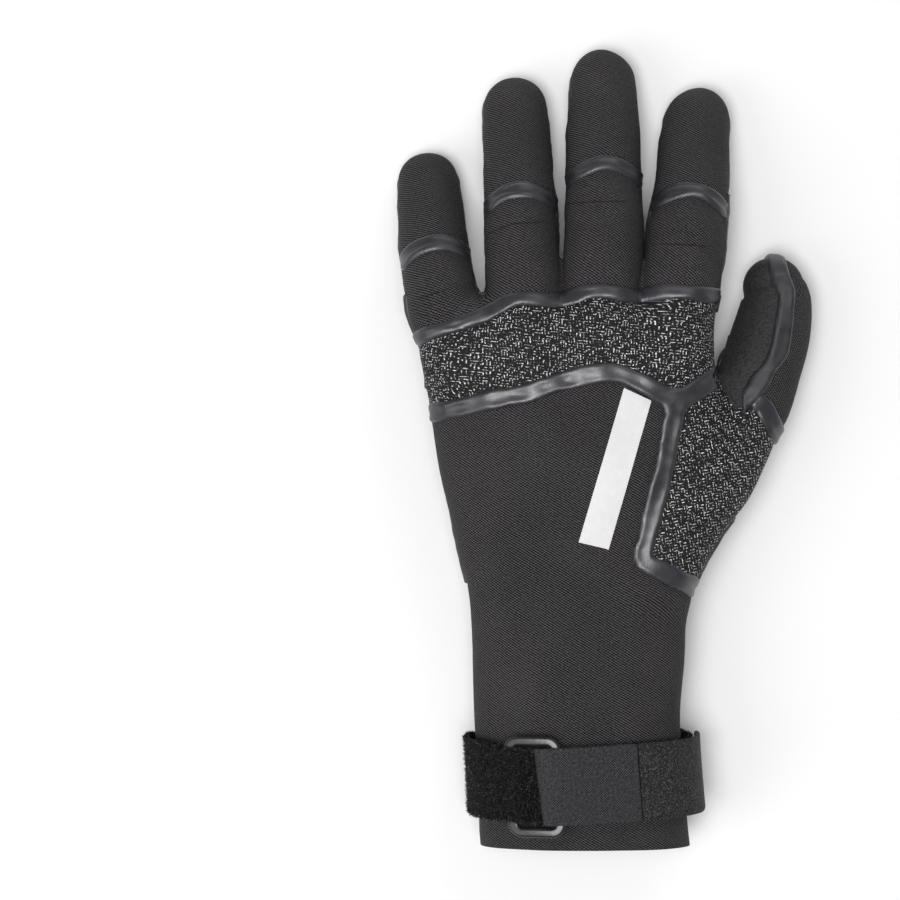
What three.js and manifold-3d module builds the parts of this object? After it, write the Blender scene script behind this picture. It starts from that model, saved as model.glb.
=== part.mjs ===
// A neoprene water-sports glove for the left hand, pre-curved and lying palm down.
// Millimetres, +Z up. The fingers point along +Y, the thumb lies towards +X, and the
// cuff's rim is a flat face that looks along -Y. The origin is under the middle of the glove.
//
// The shell is one hollow form, lofted through the hand, the four fingers and the thumb.
// It is cut into the panels that the maker glues edge to edge, and a raised rubber tape
// covers each joint. A hook-and-loop strap with a plastic ring closes the wrist.
import * as THREE from "three";
import { mergeVertices } from "three/addons/utils/BufferGeometryUtils.js";
import Module from "manifold-3d";

const wasm = await Module();
wasm.setup();

// Driving sizes of the hand
const handLength = 201; // cuff rim to the webs between the fingers
const palmWidth = 108; // over the knuckles, walls included
const palmThickness = 38;
const wristWidth = 77;
const wristThickness = 44;
const archRise = 13; // how far the knuckles stand above the wrist, middle to middle
const neoprene = 4.5; // wall of every panel

// Driving sizes of the fingers: length from the web to the tip, and places across the
// palm at the knuckle, at mid length and at the tip, as shares of the palm's width
const fingers = [
  {
    name: "pinky", length: 57.3, width: 25.2, thickness: 22.5,
    knuckle: -0.43, middle: -0.503, tip: -0.537, joint: 0.355,
  },
  {
    name: "ring", length: 85.2, width: 26.4, thickness: 24,
    knuckle: -0.2, middle: -0.217, tip: -0.235, joint: 0.466,
  },
  {
    name: "middle", length: 95.5, width: 28.2, thickness: 25,
    knuckle: 0.03, middle: 0.063, tip: 0.068, joint: 0.514,
  },
  {
    name: "index", length: 81.2, width: 27.9, thickness: 24.5,
    knuckle: 0.27, middle: 0.343, tip: 0.397, joint: 0.482,
  },
];
const fingerRoot = 26; // how far a finger's tube starts inside the hand
const tipRound = 0.46; // length of a finger's round tip, as a share of its width

// Driving sizes of the thumb
const thumbLength = 121; // root inside the palm to the tip, along the hand
const thumbWidth = 30.5;
const thumbThickness = 28;
const thumbReach = 71; // the hand's middle line to the thumb's, at the thumb's widest
const thumbStart = 0.483; // the thumb's root, as a share of the hand's length from the rim

// Seams: the slit between two panels, and the rubber tape that covers it
const slit = 0.4;
const seat = 0.3; // clearance between a piece and what it lies on
const tapeThickness = 0.9;
const tapeWidth = 6.8;
const knuckleTapeWidth = 5.2;
const fingerTapeWidth = 6;
const jointBow = 9; // how far a finger's cross tape arches towards the tip
const edgeTapeWidth = 5.5;
const bareShare = 0.47; // the thumb's side of the hand has no tape up to this share of its length

// The closing strap, its ring and its keepers
const strapWidth = 28;
const pileThickness = 2;
const webThickness = 1.8;
const strapPlace = 27; // middle of the strap, from the cuff's rim
const ringDip = 3.4; // how far the ring pulls the strap towards the rim
const thumbSideDip = 70; // and how far along the strap that reaches, on either side
const pinkySideDip = 32;
const ringLength = 37; // over all, along the glove
const ringWidth = 19.4; // over all, round the wrist
const ringBar = 3.2;
const ringCorner = 5;
const ringThickness = 2.6;
const keeperWidth = 12.5;
const keeperThickness = 1.2;
const keeperSeam = 4.5; // length of the keeper's sewn end, past the strap
const thumbSideKeeper = 0.412; // places of the keepers, as shares of the way round the wrist
const palmSideKeeper = 0.633;

// Flat trim that lies on the panels
const patchThickness = 0.5;
const labelWidth = 14.4;
const labelLength = 59;
const labelPlace = 12.6; // middle of the label, from the hand's middle line

// Facets: sides and steps of the outside, and sides of the cavity, which has half the steps
const handSides = 24;
const fingerSides = 12;
const tipSteps = 3;
const cavityHandSides = 12;
const cavityFingerSides = 8;
const cavityTipSteps = 2;
const handSteps = 10;
const fingerSteps = 6;
const thumbSteps = 6;

// Worked-out sizes
const thumbRoot = thumbStart * handLength;
const bareSeam = bareShare * handLength;
const strapGap = seat + tapeThickness + seat; // the strap clears the tape and label under it
const wristHeight = wristThickness / 2 + strapGap + pileThickness + seat + keeperThickness;
const margin = 6; // how far a cutting form stands out past the glove
const cutFloor = -margin;
const cutHeight = wristHeight + archRise + wristThickness + palmThickness;

// Sections of the hand, from the rim to the knuckles. at is a share of the hand's
// length, shift of the palm's width, wrist and palm of those widths, flat and deep of the
// wrist's and the palm's thickness, and rise of the arch. edge and top say where the palm
// side's panels end, as shares of half the width and of half the thickness.
const handForm = [
  {
    at: 0, shift: 0.004, wrist: 1.015, palm: 0,
    flat: 1.02, deep: 0, rise: 0, edge: -0.58, top: 0,
  },
  {
    at: 0.21, shift: -0.022, wrist: 1, palm: 0,
    flat: 1, deep: 0, rise: 0.03, edge: -0.5, top: 0,
  },
  {
    at: 0.385, shift: -0.022, wrist: 0.8, palm: 0.167,
    flat: 0.8, deep: 0.17, rise: 0.2, edge: -0.64, top: 0,
  },
  {
    at: 0.47, shift: -0.021, wrist: 0.55, palm: 0.365,
    flat: 0.55, deep: 0.4, rise: 0.36, edge: -0.85, top: -0.1,
  },
  {
    at: 0.55, shift: -0.022, wrist: 0.33, palm: 0.603,
    flat: 0.33, deep: 0.66, rise: 0.52, edge: -1.5, top: -0.25,
  },
  {
    at: 0.64, shift: -0.023, wrist: 0.12, palm: 0.828,
    flat: 0.12, deep: 0.87, rise: 0.7, edge: -1.5, top: -0.3,
  },
  {
    at: 0.73, shift: -0.03, wrist: 0, palm: 0.965,
    flat: 0, deep: 0.97, rise: 0.85, edge: -1.5, top: -0.32,
  },
  {
    at: 0.82, shift: -0.043, wrist: 0, palm: 0.985,
    flat: 0, deep: 0.93, rise: 0.95, edge: -1.5, top: -0.34,
  },
  {
    at: 0.91, shift: -0.062, wrist: 0, palm: 0.982,
    flat: 0, deep: 0.84, rise: 1, edge: -1.5, top: -0.36,
  },
  {
    at: 1, shift: -0.09, wrist: 0, palm: 0.95,
    flat: 0, deep: 0.66, rise: 0.98, edge: -1.5, top: -0.38,
  },
];

// Sections of a finger. along is a share of the way from the root to the middle of the
// round tip, width and thickness are shares of the finger's own, and fall of its drop.
// top is where the pad ends, as a share of half the thickness.
const fingerForm = [
  { along: 0.0, width: 0.84, thickness: 0.92, fall: -0.06, top: -0.66 },
  { along: 0.28, width: 1.03, thickness: 1.0, fall: 0.06, top: -0.46 },
  { along: 0.48, width: 1.02, thickness: 1.02, fall: 0.25, top: -0.4 },
  { along: 0.66, width: 1.0, thickness: 0.99, fall: 0.5, top: -0.4 },
  { along: 0.84, width: 0.96, thickness: 0.95, fall: 0.78, top: -0.4 },
  { along: 1.0, width: 0.89, thickness: 0.88, fall: 1.0, top: -0.4 },
];

// Sections of the thumb. along is a share of its length, out of its reach, and fall of
// the drop from the palm's middle to the tip's. side and top give the corner of the pad:
// the pad faces the fingers, and at the root it narrows to the palm side.
const thumbForm = [
  { along: 0.0, out: 0.34, width: 0.78, thickness: 0.95, fall: 0.0, side: 0.3, top: -0.45 },
  { along: 0.156, out: 0.455, width: 0.9, thickness: 1.05, fall: 0.1, side: 0.3, top: -0.4 },
  { along: 0.311, out: 0.66, width: 0.98, thickness: 1.1, fall: 0.24, side: 0.33, top: -0.35 },
  { along: 0.467, out: 0.8, width: 1.0, thickness: 1.07, fall: 0.4, side: 0.32, top: -0.1 },
  { along: 0.56, out: 0.868, width: 1.0, thickness: 1.03, fall: 0.5, side: 0.28, top: 0.9 },
  { along: 0.65, out: 0.922, width: 1.0, thickness: 1.0, fall: 0.6, side: 0.24, top: 1.6 },
  { along: 0.75, out: 0.98, width: 0.97, thickness: 0.95, fall: 0.76, side: 0.2, top: 1.6 },
  { along: 0.86, out: 1.018, width: 0.86, thickness: 0.88, fall: 0.92, side: 0.2, top: 1.6 },
  { along: 0.91, out: 0.985, width: 0.77, thickness: 0.82, fall: 1.0, side: 0.2, top: 1.6 },
];

// Seam lines seen from above: x as a share of the palm's width, y of the hand's length
const knuckleSeam = [
  { x: -0.68, y: 0.9 },
  { x: -0.545, y: 0.937 },
  { x: -0.37, y: 0.963 },
  { x: -0.3, y: 0.988 },
  { x: -0.22, y: 1.003 },
  { x: -0.12, y: 0.995 },
  { x: 0.03, y: 1.018 },
  { x: 0.161, y: 1.004 },
  { x: 0.27, y: 1.015 },
  { x: 0.6, y: 1.0 },
];
const backSeam = [
  { x: -0.66, y: 0.782 },
  { x: -0.507, y: 0.794 },
  { x: -0.233, y: 0.826 },
  { x: 0.0, y: 0.863 },
  { x: 0.1, y: 0.867 },
  { x: 0.305, y: 0.813 },
  { x: 0.56, y: 0.9 },
];
const gussetSeam = [
  { x: 0.305, y: 0.823 },
  { x: 0.264, y: 0.705 },
  { x: 0.177, y: 0.524 },
  { x: 0.373, y: 0.474 },
  { x: 0.56, y: 0.43 },
];
const thumbJointSeam = [
  { x: 0.5, y: 0.87 },
  { x: 0.589, y: 0.813 },
  { x: 0.665, y: 0.747 },
  { x: 0.76, y: 0.68 },
];
const palmThumbSeam = [
  { x: 0.52, y: 0.93 },
  { x: 0.401, y: 0.835 },
  { x: 0.312, y: 0.782 },
  { x: 0.23, y: 0.729 },
  { x: 0.168, y: 0.654 },
  { x: 0.158, y: 0.558 },
  { x: 0.175, y: 0.505 },
];
const palmWristSeam = [
  { x: -0.7, y: 0.507 },
  { x: -0.223, y: 0.512 },
  { x: 0.175, y: 0.514 },
  { x: 0.7, y: 0.514 },
];
const pinkyWebSeam = [
  { x: -0.363, y: 0.95 },
  { x: -0.363, y: 1.03 },
];
const indexWebSeam = [
  { x: 0.173, y: 0.97 },
  { x: 0.191, y: 1.1 },
];
const printCorners = [
  { x: 0.12, y: 0.838 },
  { x: 0.212, y: 0.815 },
  { x: 0.07, y: 0.547 },
  { x: -0.031, y: 0.56 },
];

// Curves and plain solids

// The table's rows, joined by one smooth curve and sampled in even steps.
function smoothRows(rows, steps) {
  const names = Object.keys(rows[0]);
  const before = (i) => rows[Math.max(i, 0)];
  const after = (i) => rows[Math.min(i, rows.length - 1)];
  return Array.from({ length: steps + 1 }, (_, k) => {
    const at = (k / steps) * (rows.length - 1);
    const i = Math.min(Math.floor(at), rows.length - 2);
    const t = at - i;
    const blend = (name) => {
      const [p, q, r, s] = [before(i - 1), rows[i], rows[i + 1], after(i + 2)].map((row) => row[name]);
      return q + 0.5 * t * (r - p + t * (2 * p - 5 * q + 4 * r - s + t * (3 * (q - r) + s - p)));
    };
    return Object.fromEntries(names.map((name) => [name, blend(name)]));
  });
}

// A closed three.js geometry as a manifold-3d solid, turned outside out where need be.
function solidOf(geometry) {
  geometry.deleteAttribute("normal");
  geometry.deleteAttribute("uv");
  const merged = mergeVertices(geometry, 1e-4);
  const vertProperties = new Float32Array(merged.attributes.position.array);
  const build = (triVerts) => new wasm.Manifold(new wasm.Mesh({ numProp: 3, vertProperties, triVerts }));
  const corners = new Uint32Array(merged.index.array);
  const solid = build(corners);
  return solid.volume() > 0 ? solid : build(corners.slice().reverse());
}

// A manifold-3d solid as a three.js geometry.
function geometryOf(solid) {
  const mesh = solid.getMesh();
  const geometry = new THREE.BufferGeometry();
  geometry.setAttribute("position", new THREE.BufferAttribute(mesh.vertProperties, 3));
  geometry.setIndex(new THREE.BufferAttribute(mesh.triVerts, 1));
  const flat = geometry.toNonIndexed();
  flat.computeVertexNormals();
  return flat;
}

const middleOf = (points) =>
  points.reduce((sum, p) => sum.add(p), new THREE.Vector3()).divideScalar(points.length);

// A solid through rings of points that all turn the same way. A fan closes each end:
// from the ring's middle, or at the far end from a given point.
function loft(rings, endPoint) {
  const sides = rings[0].length;
  const lastRing = rings[rings.length - 1];
  const points = [...rings.flat(), middleOf(rings[0]), endPoint ?? middleOf(lastRing)];
  const start = rings.length * sides;
  const end = start + 1;
  const faces = [];
  for (let k = 0; k < sides; k += 1) {
    const next = (k + 1) % sides;
    faces.push(start, next, k);
    for (let r = 0; r + 1 < rings.length; r += 1) {
      const low = r * sides;
      const high = low + sides;
      faces.push(low + k, low + next, high + next, low + k, high + next, high + k);
    }
    const last = (rings.length - 1) * sides;
    faces.push(end, last + k, last + next);
  }
  const geometry = new THREE.BufferGeometry().setFromPoints(points);
  geometry.setIndex(faces);
  return solidOf(geometry);
}

// A straight wall that stands on a plan outline, through the whole glove.
function prism(outline) {
  const shape = new THREE.Shape(outline.map(({ x, y }) => new THREE.Vector2(x, y)));
  const geometry = new THREE.ExtrudeGeometry(shape, { depth: cutHeight, bevelEnabled: false });
  geometry.translate(0, 0, cutFloor);
  return solidOf(geometry);
}

// The outline of a band of one width along a line, with mitred corners.
function bandOutline(line, width) {
  const points = line.map(({ x, y }) => new THREE.Vector2(x, y));
  const side = (i) => {
    const arrive = points[i].clone().sub(points[Math.max(i - 1, 0)]).normalize();
    const leave = points[Math.min(i + 1, points.length - 1)].clone().sub(points[i]).normalize();
    const along = arrive.clone().add(leave).normalize();
    const reach = width / 2 / Math.max(0.5, Math.abs(along.dot(leave.lengthSq() > 0 ? leave : arrive)));
    return new THREE.Vector2(-along.y, along.x).multiplyScalar(reach);
  };
  const left = points.map((p, i) => p.clone().add(side(i)));
  const right = points.map((p, i) => p.clone().sub(side(i)));
  return [...left, ...right.reverse()];
}

// A straight wall on a rectangle of the plan.
const rectangle = (left, near, right, far) =>
  prism([
    { x: left, y: near },
    { x: right, y: near },
    { x: right, y: far },
    { x: left, y: far },
  ]);

const inPlan = (line) => line.map(({ x, y }) => ({ x: x * palmWidth, y: y * handLength }));
const bandPrism = (line, width) => prism(bandOutline(line, width));
const united = (solids) => solids.reduce((all, next) => all.add(next));

// The glove's form

// A hand's section is an ellipse with slightly squared shoulders.
const squareness = 2.3;
const rounded = (value) => Math.sign(value) * Math.abs(value) ** (2 / squareness);

// The cavity makes do with every second section.
const thinned = (rows, grow) => (grow < 0 ? rows.filter((_, i) => i % 2 === 0) : rows);

// The hand's sections as centre, half width and half thickness, in millimetres.
const handRows = smoothRows(handForm, handSteps).map((row) => ({
  ...row,
  centre: new THREE.Vector3(row.shift * palmWidth, row.at * handLength, wristHeight + row.rise * archRise),
  halfWidth: (row.wrist * wristWidth + row.palm * palmWidth) / 2,
  halfThickness: (row.flat * wristThickness + row.deep * palmThickness) / 2,
}));

// The hand, grown outwards. Where grow is negative, it is the cavity and runs out past
// the rim.
function handSolid(grow) {
  const sides = grow < 0 ? cavityHandSides : handSides;
  const ring = (row, y) =>
    Array.from({ length: sides }, (_, k) => {
      const angle = (k / sides) * 2 * Math.PI;
      const across = (row.halfWidth + grow) * rounded(Math.cos(angle));
      const up = (row.halfThickness + grow) * rounded(Math.sin(angle));
      return new THREE.Vector3(row.centre.x + across, y, row.centre.z + up);
    });
  const rows = thinned(handRows, grow);
  const last = rows[rows.length - 1];
  const rings = rows.map((row) => ring(row, row === last ? row.centre.y + grow : row.centre.y));
  if (grow < 0) rings.unshift(ring(rows[0], -margin));
  return loft(rings);
}

// Side and upward directions of each section of a tube, square to its middle line.
function framed(rows) {
  return rows.map((row, i) => {
    const before = rows[Math.max(i - 1, 0)].centre;
    const after = rows[Math.min(i + 1, rows.length - 1)].centre;
    const along = after.clone().sub(before).normalize();
    const across = new THREE.Vector3().crossVectors(along, new THREE.Vector3(0, 0, 1)).normalize();
    const up = new THREE.Vector3().crossVectors(across, along);
    return { ...row, along, across, up };
  });
}

const place = (row, across, up) =>
  row.centre.clone().addScaledVector(row.across, across).addScaledVector(row.up, up);

// A tube with a round tip through framed sections, grown outwards or shrunk.
function tubeSolid(allRows, grow) {
  const sides = grow < 0 ? cavityFingerSides : fingerSides;
  const steps = grow < 0 ? cavityTipSteps : tipSteps;
  const rows = thinned(allRows, grow);
  const last = rows[rows.length - 1];
  const tipLength = last.tip + grow;
  const ring = (row, shrink) =>
    Array.from({ length: sides }, (_, k) => {
      const angle = (k / sides) * 2 * Math.PI;
      const across = (row.halfWidth + grow) * shrink * Math.cos(angle);
      return place(row, across, (row.halfThickness + grow) * shrink * Math.sin(angle));
    });
  const rings = rows.map((row) => ring(row, 1));
  for (let k = 1; k < steps; k += 1) {
    const turn = (k / steps) * (Math.PI / 2);
    const centre = last.centre.clone().addScaledVector(last.along, tipLength * Math.sin(turn));
    rings.push(ring({ ...last, centre }, Math.cos(turn)));
  }
  return loft(rings, last.centre.clone().addScaledVector(last.along, tipLength));
}

// The corner of a tube or hand that the palm side's panels take: everything from the
// corner's side and top downwards. lift moves both edges outwards, and the corner runs
// on for before and beyond at its ends.
function cornerSolid(rows, edges, lift, before, beyond) {
  const ring = (row) => {
    const { from, to, top } = edges(row);
    const low = -(row.halfThickness + margin);
    const left = from - lift;
    const right = to + lift;
    const high = top + lift;
    return [place(row, left, low), place(row, right, low), place(row, right, high), place(row, left, high)];
  };
  const moved = (row, distance) => ({
    ...row,
    centre: row.centre.clone().addScaledVector(row.along, distance),
  });
  const last = rows[rows.length - 1];
  return loft([moved(rows[0], -before), ...rows.slice(1), moved(last, beyond)].map(ring));
}

// The middle line and sections of one finger.
function fingerRows(finger) {
  const tip = finger.width * tipRound;
  const tipHalf = (finger.thickness / 2) * fingerForm[fingerForm.length - 1].thickness;
  const start = handLength - fingerRoot;
  const run = fingerRoot + finger.length - tip;
  const rootHeight = wristHeight + archRise;
  const rows = smoothRows(fingerForm, fingerSteps).map((row) => {
    const s = row.along;
    const nearKnuckle = finger.knuckle * (1 - s) * (1 - 2 * s);
    const nearTip = finger.tip * s * (2 * s - 1);
    const across = (nearKnuckle + finger.middle * 4 * s * (1 - s) + nearTip) * palmWidth;
    return {
      centre: new THREE.Vector3(across, start + s * run, rootHeight - row.fall * (rootHeight - tipHalf)),
      halfWidth: (row.width * finger.width) / 2,
      halfThickness: (row.thickness * finger.thickness) / 2,
      top: row.top,
      tip,
    };
  });
  return framed(rows);
}

const fingerTubes = fingers.map((finger) => ({ ...finger, rows: fingerRows(finger) }));

const thumbRows = (() => {
  const rootHeight = wristHeight + archRise / 2;
  const lastRow = thumbForm[thumbForm.length - 1];
  const tipHeight = (thumbThickness / 2) * lastRow.thickness + 2 * (seat + tapeThickness);
  const tip = thumbLength * (1 - lastRow.along);
  const rows = smoothRows(thumbForm, thumbSteps).map((row) => ({
    ...row,
    centre: new THREE.Vector3(
      row.out * thumbReach,
      thumbRoot + row.along * thumbLength,
      rootHeight - row.fall * (rootHeight - tipHeight),
    ),
    halfWidth: (row.width * thumbWidth) / 2,
    halfThickness: (row.thickness * thumbThickness) / 2,
    tip,
  }));
  return framed(rows);
})();

// The whole glove's outside, grown outwards, or its cavity, where grow is negative.
function gloveSolid(grow) {
  const tubes = [thumbRows, ...fingerTubes.map(({ rows }) => rows)];
  return united([handSolid(grow), ...tubes.map((rows) => tubeSolid(rows, grow))]);
}

// Everything that belongs to the palm side: under the fingers and the hand, under the
// wrist from its side seam on, and the thumb's pad.
function palmSide(lift) {
  const spare = margin / 4;
  const upright = {
    along: new THREE.Vector3(0, 1, 0),
    across: new THREE.Vector3(1, 0, 0),
    up: new THREE.Vector3(0, 0, 1),
  };
  const handEdges = (row) => ({
    from: row.edge * row.halfWidth,
    to: row.halfWidth + margin,
    top: row.top * row.halfThickness,
  });
  const fingerEdges = (row) => ({
    from: -(row.halfWidth + spare),
    to: row.halfWidth + spare,
    top: row.top * row.halfThickness,
  });
  const thumbEdges = (row) => ({
    from: -(row.halfWidth + spare),
    to: row.side * row.halfWidth,
    top: row.top * row.halfThickness,
  });
  const handRowsUpright = handRows.map((row) => ({ ...row, ...upright }));
  const pads = fingerTubes.map(({ rows }) => cornerSolid(rows, fingerEdges, lift, 0, rows[0].tip + margin));
  return united([
    cornerSolid(handRowsUpright, handEdges, lift, margin, 0),
    cornerSolid(thumbRows, thumbEdges, lift, 0, thumbRows[0].tip + margin),
    ...pads,
  ]);
}

// Seam lines, in millimetres

// The line across a finger at its joint, bowed towards the tip. The joint's place is a
// share of the way from the web to the tip.
function acrossFinger({ joint, length, rows }) {
  const y = handLength + joint * length;
  const i = rows.findIndex((row) => row.centre.y > y);
  const [before, row] = [rows[i - 1], rows[i]];
  const t = (y - before.centre.y) / (row.centre.y - before.centre.y);
  const centre = before.centre.clone().lerp(row.centre, t);
  const reach = row.halfWidth + margin / 2;
  return [-1, -0.75, -0.5, -0.25, 0, 0.25, 0.5, 0.75, 1].map((u) => ({
    x: centre.x + u * reach * row.across.x - u * u * jointBow * row.along.x,
    y: centre.y + u * reach * row.across.y - u * u * jointBow * row.along.y,
  }));
}
const fingerJoints = fingerTubes.map((finger) => ({ name: finger.name, line: acrossFinger(finger) }));
const knuckleLine = inPlan(knuckleSeam);
const backLine = inPlan(backSeam);
const gussetLine = inPlan(gussetSeam);
const thumbJointLine = inPlan(thumbJointSeam);
const palmThumbLine = inPlan(palmThumbSeam);
const palmWristLine = inPlan(palmWristSeam);
const webLines = [inPlan(pinkyWebSeam), inPlan(indexWebSeam)];

// Panels

const shell = gloveSolid(0).subtract(gloveSolid(-neoprene));
const handSlits = [knuckleLine, backLine, gussetLine, thumbJointLine, ...webLines];
const upperSlits = [...handSlits, ...fingerJoints.map(({ line }) => line)];
const lowerSlits = [palmThumbLine, palmWristLine];
function cutApart(solid, lines) {
  return solid.subtract(united(lines.map((line) => bandPrism(line, slit)))).decompose();
}
const upperPanels = cutApart(shell.subtract(palmSide(slit / 2)), upperSlits);
const lowerPanels = cutApart(shell.intersect(palmSide(-slit / 2)), lowerSlits);

// The panel with the most cloth over or under a spot of the plan.
function panelAt(panels, { x, y }) {
  const reach = margin / 2;
  const column = rectangle(x - reach, y - reach, x + reach, y + reach);
  const cloth = (panel) => panel.intersect(column).volume();
  return panels.reduce((best, next) => (cloth(next) > cloth(best) ? next : best));
}

const handSpot = (x, y) => ({ x: x * palmWidth, y: y * handLength });
const tubeSpot = (rows, share) => rows[Math.round(share * (rows.length - 1))].centre;

// Tapes: a thin skin that stands clear of the panels, cut to bands along the seams

const tapeSkin = gloveSolid(seat + tapeThickness).subtract(gloveSolid(seat));
const patchSkin = gloveSolid(seat + patchThickness).subtract(gloveSolid(seat));
const edgeBand = palmSide(edgeTapeWidth / 2).subtract(palmSide(-edgeTapeWidth / 2));
const aboveEdge = palmSide(edgeTapeWidth / 2 + seat);
const belowEdge = palmSide(-edgeTapeWidth / 2 - seat);
const larger = (one, other) => (other.volume() > one.volume() ? other : one);
const largest = (solid) => solid.decompose().reduce(larger);
const upperTape = (lines) => tapeSkin.intersect(united(lines)).subtract(aboveEdge);
const lowerTape = (lines) => tapeSkin.intersect(united(lines)).intersect(belowEdge);

const backNetwork = united([bandPrism(backLine, tapeWidth), bandPrism(gussetLine, tapeWidth)]);
const thumbBand = bandPrism(thumbJointLine, tapeWidth).subtract(
  united([bandPrism(backLine, tapeWidth + 2 * seat), bandPrism(gussetLine, tapeWidth + 2 * seat)]),
);
const thumbSideWrist = rectangle(0, -margin, palmWidth, bareSeam);
const palmNetwork = united([bandPrism(palmThumbLine, tapeWidth), bandPrism(palmWristLine, tapeWidth)]);

// Places round the wrist, by arc length from the ring's middle towards the thumb

const ringAngle = Math.PI * 0.626; // from the thumb's side, over the back of the hand
const wristAngles = 360;

// The hand's section at any distance from the rim.
function sectionAt(y) {
  const i = Math.max(1, handRows.findIndex((row) => row.centre.y > y));
  const [low, high] = [handRows[i - 1], handRows[i]];
  const t = (y - low.centre.y) / (high.centre.y - low.centre.y);
  return {
    centre: low.centre.clone().lerp(high.centre, t),
    halfWidth: low.halfWidth + t * (high.halfWidth - low.halfWidth),
    halfThickness: low.halfThickness + t * (high.halfThickness - low.halfThickness),
  };
}

function wristPoint(angle, y) {
  const { centre, halfWidth, halfThickness } = sectionAt(y);
  const across = halfWidth * rounded(Math.cos(angle));
  return new THREE.Vector3(centre.x + across, y, centre.z + halfThickness * rounded(Math.sin(angle)));
}

const stepAngle = (k) => ringAngle - (k / wristAngles) * 2 * Math.PI;
const wristOutline = Array.from({ length: wristAngles + 1 }, (_, k) => wristPoint(stepAngle(k), strapPlace));
const reached = wristOutline.reduce((sums, p, k) => {
  const last = k > 0 ? sums[k - 1] + p.distanceTo(wristOutline[k - 1]) : 0;
  return [...sums, last];
}, []);
const girth = reached[wristAngles];

// A point at an arc length and a height over the wrist, at y along the glove, with the
// directions round the wrist and out of it.
function overWrist(around, y, height) {
  const rest = ((around % girth) + girth) % girth;
  const k = Math.max(1, reached.findIndex((length) => length >= rest));
  const t = (rest - reached[k - 1]) / (reached[k] - reached[k - 1]);
  const surface = wristPoint(stepAngle(k - 1 + t), y);
  const tangent = wristOutline[k].clone().sub(wristOutline[k - 1]).normalize();
  const outward = new THREE.Vector3(-tangent.z, 0, tangent.x);
  return { point: surface.addScaledVector(outward, height), tangent, outward };
}

// Heights over the wrist: a layer's underside, at 0 on the wrist, at 1 on the pile, and
// at 2 over the ring.
const layerFloors = [
  { layer: 0, floor: strapGap },
  { layer: 1, floor: strapGap + pileThickness + seat },
  { layer: 2, floor: strapGap + pileThickness + seat + ringThickness + seat },
];
function layerFloor(layer) {
  const low = layerFloors[layer < 1 ? 0 : 1];
  const high = layerFloors[layer < 1 ? 1 : 2];
  return low.floor + (layer - low.layer) * (high.floor - low.floor);
}

// The strap's middle dips towards the rim where the ring pulls it.
function strapMiddle(around) {
  const rest = ((around % girth) + girth) % girth;
  const away = Math.min(rest / thumbSideDip, (girth - rest) / pinkySideDip);
  return strapPlace - ringDip * Math.max(0, 1 - away);
}

// A strap along rows of arc length and layer, as a band of four corners.
function strapSolid(rows, thickness) {
  const stations = rows.map(({ around, layer }) => {
    const edge = (side) => {
      const y = strapMiddle(around) + (side * strapWidth) / 2;
      return overWrist(around, y, layerFloor(layer) + thickness / 2).point;
    };
    return { low: edge(-1), high: edge(1) };
  });
  const rings = stations.map(({ low, high }, i) => {
    const before = stations[Math.max(i - 1, 0)].low;
    const after = stations[Math.min(i + 1, rows.length - 1)].low;
    const along = after.clone().sub(before).setY(0).normalize();
    const up = new THREE.Vector3(-along.z, 0, along.x).multiplyScalar(thickness / 2);
    return [low.clone().sub(up), high.clone().sub(up), high.clone().add(up), low.clone().add(up)];
  });
  return loft(rings);
}

// The fleecy band: a fold round the ring's left bar, then round the little finger's
// side, the palm side and the thumb's side, to its end under the webbing.
const pileEnd = 34.5;
const pileRows = [
  { around: -20, layer: 0.05 },
  { around: -12, layer: 0 },
  { around: -4, layer: 0.02 },
  { around: -0.4, layer: 0.4 },
  { around: 0.6, layer: 1.02 },
  { around: -0.4, layer: 1.7 },
  { around: -4, layer: 2 },
  { around: -11, layer: 2 },
  { around: -18, layer: 1.75 },
  { around: -23, layer: 1.3 },
  { around: -29, layer: 0.55 },
  { around: -34, layer: 0.2 },
  { around: -39, layer: 0.12 },
  { around: -44, layer: 0.1 },
  { around: -50, layer: 0.1 },
  { around: -57, layer: 0.12 },
  { around: -64, layer: 0.12 },
  { around: -71, layer: 0.1 },
  { around: -82, layer: 0.05 },
  { around: -94, layer: 0.04 },
  { around: -105, layer: 0.05 },
  { around: -114, layer: 0.08 },
  { around: -120, layer: 0.1 },
  { around: -126, layer: 0.12 },
  { around: -131, layer: 0.12 },
  { around: -136, layer: 0.12 },
  { around: -141, layer: 0.1 },
  { around: -148, layer: 0.08 },
  { around: -156, layer: 0.04 },
  { around: pileEnd - girth, layer: 0.02 },
];

// The webbing: sewn to the pile's end, through the ring under its right bar, and back.
const webRows = [
  { around: pileEnd - 0.6, layer: 0.02 },
  { around: 24, layer: 0.02 },
  { around: 14, layer: 0.02 },
  { around: 7, layer: 0 },
  { around: 4.4, layer: 0.4 },
  { around: 3.9, layer: 1.04 },
  { around: 4.4, layer: 1.78 },
  { around: 6.6, layer: 2.12 },
  { around: 12, layer: 2.06 },
  { around: 20, layer: 1.55 },
  { around: 28, layer: 1.15 },
  { around: pileEnd + 1.5, layer: 1.06 },
];

// The hook tape: on from the webbing over the pile, round the thumb's side, with its
// tab standing off at the end.
const hookRows = [
  { around: pileEnd + 1.9, layer: 1.06 },
  { around: 43, layer: 1.1 },
  { around: 50, layer: 1.14 },
  { around: 55, layer: 1.17 },
  { around: 60, layer: 1.2 },
  { around: 64, layer: 1.22 },
  { around: 68, layer: 1.35 },
  { around: 71.5, layer: 1.7 },
  { around: 74.5, layer: 2.2 },
];

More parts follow.
